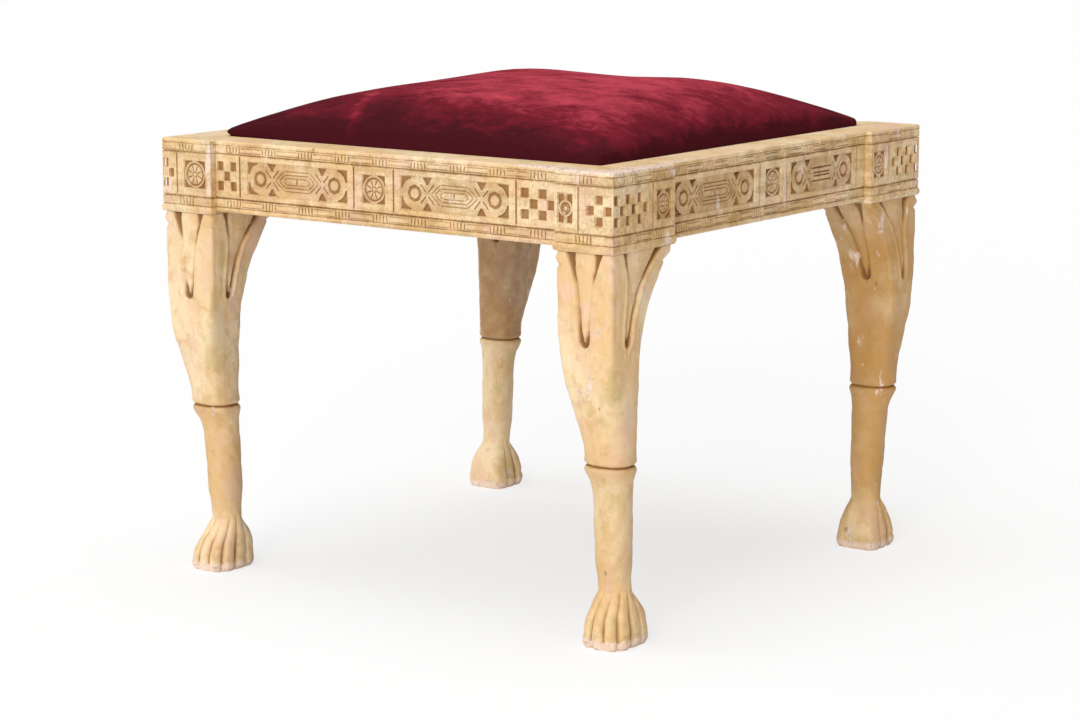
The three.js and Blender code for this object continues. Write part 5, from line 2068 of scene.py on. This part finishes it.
@dataclass
class Studio:
    """Camera, lamps and floor."""

    place: tuple[float, float, float] = (1.7219, -2.3756, 0.7464)
    yaw: float = 0.6305
    pitch: float = 0.1801
    lens: float = 93.793
    # Each sun: its name, strength, width in degrees, tint and the place that it shines from
    suns: tuple[tuple, ...] = (
        ("left", 1.3, 64.0, (0.95, 0.98, 1.0), (-0.40, -0.66, 1.15)),
        ("front", 1.5, 26.0, (1.0, 0.96, 0.87), (0.32, -0.92, 0.38)),
        ("overhead", 1.15, 42.0, (1.0, 1.0, 1.0), (0.0, 0.0, 1.0)),
    )
    # The sky as the stool gets its light, and as the camera sees it: its tint and strength
    skies: tuple[tuple, ...] = (((1.0, 0.89, 0.74, 1), 0.2), ((1, 1, 1, 1), 1.0))

    def camera(self) -> None:
        """Makes the camera at the photograph's viewpoint."""
        data = bpy.data.cameras.new("camera")
        data.lens, data.sensor_width, data.sensor_fit = self.lens, 36.0, "HORIZONTAL"
        data.clip_start, data.clip_end = 0.05, 60.0
        camera = bpy.data.objects.new("camera", data)
        bpy.context.scene.collection.objects.link(camera)
        camera.location = self.place
        camera.rotation_euler = (math.pi / 2 - self.pitch, 0, self.yaw)
        bpy.context.scene.camera = camera

    def lights(self) -> None:
        """Sets a cool sun from the left, a warm low one from the front, a soft one overhead and an even sky."""
        for name, energy, spread, tint, place in self.suns:
            lamp = bpy.data.lights.new(name, "SUN")
            lamp.energy, lamp.angle, lamp.color = energy, math.radians(spread), tint
            piece = bpy.data.objects.new(name, lamp)
            bpy.context.scene.collection.objects.link(piece)
            piece.rotation_euler = Vector(place).to_track_quat("Z", "Y").to_euler()
        world = bpy.data.worlds.new("studio")
        bpy.context.scene.world = world
        world.use_nodes = True
        nodes, links = world.node_tree.nodes, world.node_tree.links
        nodes.clear()
        rays, mix = nodes.new("ShaderNodeLightPath"), nodes.new("ShaderNodeMixShader")
        links.new(rays.outputs["Is Camera Ray"], mix.inputs[0])
        for place, (tint, strength) in enumerate(self.skies, start=1):
            sky = nodes.new("ShaderNodeBackground")
            sky.inputs["Color"].default_value, sky.inputs["Strength"].default_value = tint, strength
            links.new(sky.outputs[0], mix.inputs[place])
        links.new(mix.outputs[0], nodes.new("ShaderNodeOutputWorld").inputs["Surface"])

    def floor(self) -> None:
        """Lays the floor."""
        Bench.clear()
        bpy.ops.mesh.primitive_plane_add(size=40)
        piece = Bench.named("floor")
        piece.data.materials.append(PaleFloor().material())


def dress_nodes(names: Sequence[str], finish: Material) -> None:
    """Gives some of the frame's own wooden nodes their finish.

    Args:
        names: The nodes.
        finish: Their finish.
    """
    for name in names:
        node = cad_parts[name]
        node.data.materials.clear()
        node.data.materials.append(finish)
        LOG.info("%s: kept, finished with %s", name, finish.name)


def main() -> None:
    """Builds the stool piece by piece."""
    logging.basicConfig(level=logging.INFO, format="%(name)s %(message)s")
    bpy.context.scene.view_settings.view_transform = "Standard"
    studio = Studio()
    studio.camera()

    paint = {streaks: OldPaint(f"old_paint_{streaks.label}", streaks).material() for streaks in Streaks}
    wood = {streaks: BareWood(f"bare_wood_{streaks.label}", streaks).material() for streaks in Streaks}
    steel = ScrewSteel().material()

    LionLeg().build(paint[Streaks.UPRIGHT])
    CornerBlock((Corner.FRONT_LEFT, Corner.BACK_RIGHT), SHORT_FACE, LONG_FACE).build(paint[Streaks.ACROSS])
    CornerBlock((Corner.FRONT_RIGHT, Corner.BACK_LEFT), WRAPPED_FACE, LONG_FACE).build(paint[Streaks.ACROSS])
    ways = {Side.FRONT: Streaks.ACROSS, Side.BACK: Streaks.ACROSS, Side.RIGHT: Streaks.ALONG, Side.LEFT: Streaks.ALONG}
    finishes = {side: paint[way] for side, way in ways.items()}
    FrameRail((Side.FRONT, Side.BACK), SIZES.width, SIZES.block_width, SIZES.depth, FRONT_RAIL).build(finishes)
    FrameRail((Side.RIGHT, Side.LEFT), SIZES.depth, SIZES.block_depth, SIZES.width, SIDE_RAIL).build(finishes)

    seat = SeatCover()
    seat.build_cover(Velvet().material())
    seat.build_padding(Wadding().material())
    jute = Weave("jute_finish", 1.6, colour(190, 160, 110), colour(120, 92, 56), colour(122, 52, 44))
    hessian = Weave("hessian_finish", 2.2, colour(170, 140, 92), colour(96, 74, 44))
    dust = Weave("dust_cloth_finish", 0.9, colour(52, 49, 46), colour(20, 19, 18), None, 0.0001)
    seat.build_straps(jute.material())
    seat.build_cloths(hessian.material(), dust.material())
    fixings = Fixings()
    fixings.build_screws(steel)
    fixings.build_tacks(steel)

    for side, way in ways.items():
        dress_nodes([f"seat_ledge_{side.label}", f"seat_rail_{side.label}"], wood[way])
    dress_nodes([f"corner_brace_{corner.label}" for corner in Corner], wood[Streaks.ACROSS])

    studio.lights()
    studio.floor()
    Bench.clear()


if __name__ == "__main__":
    main()
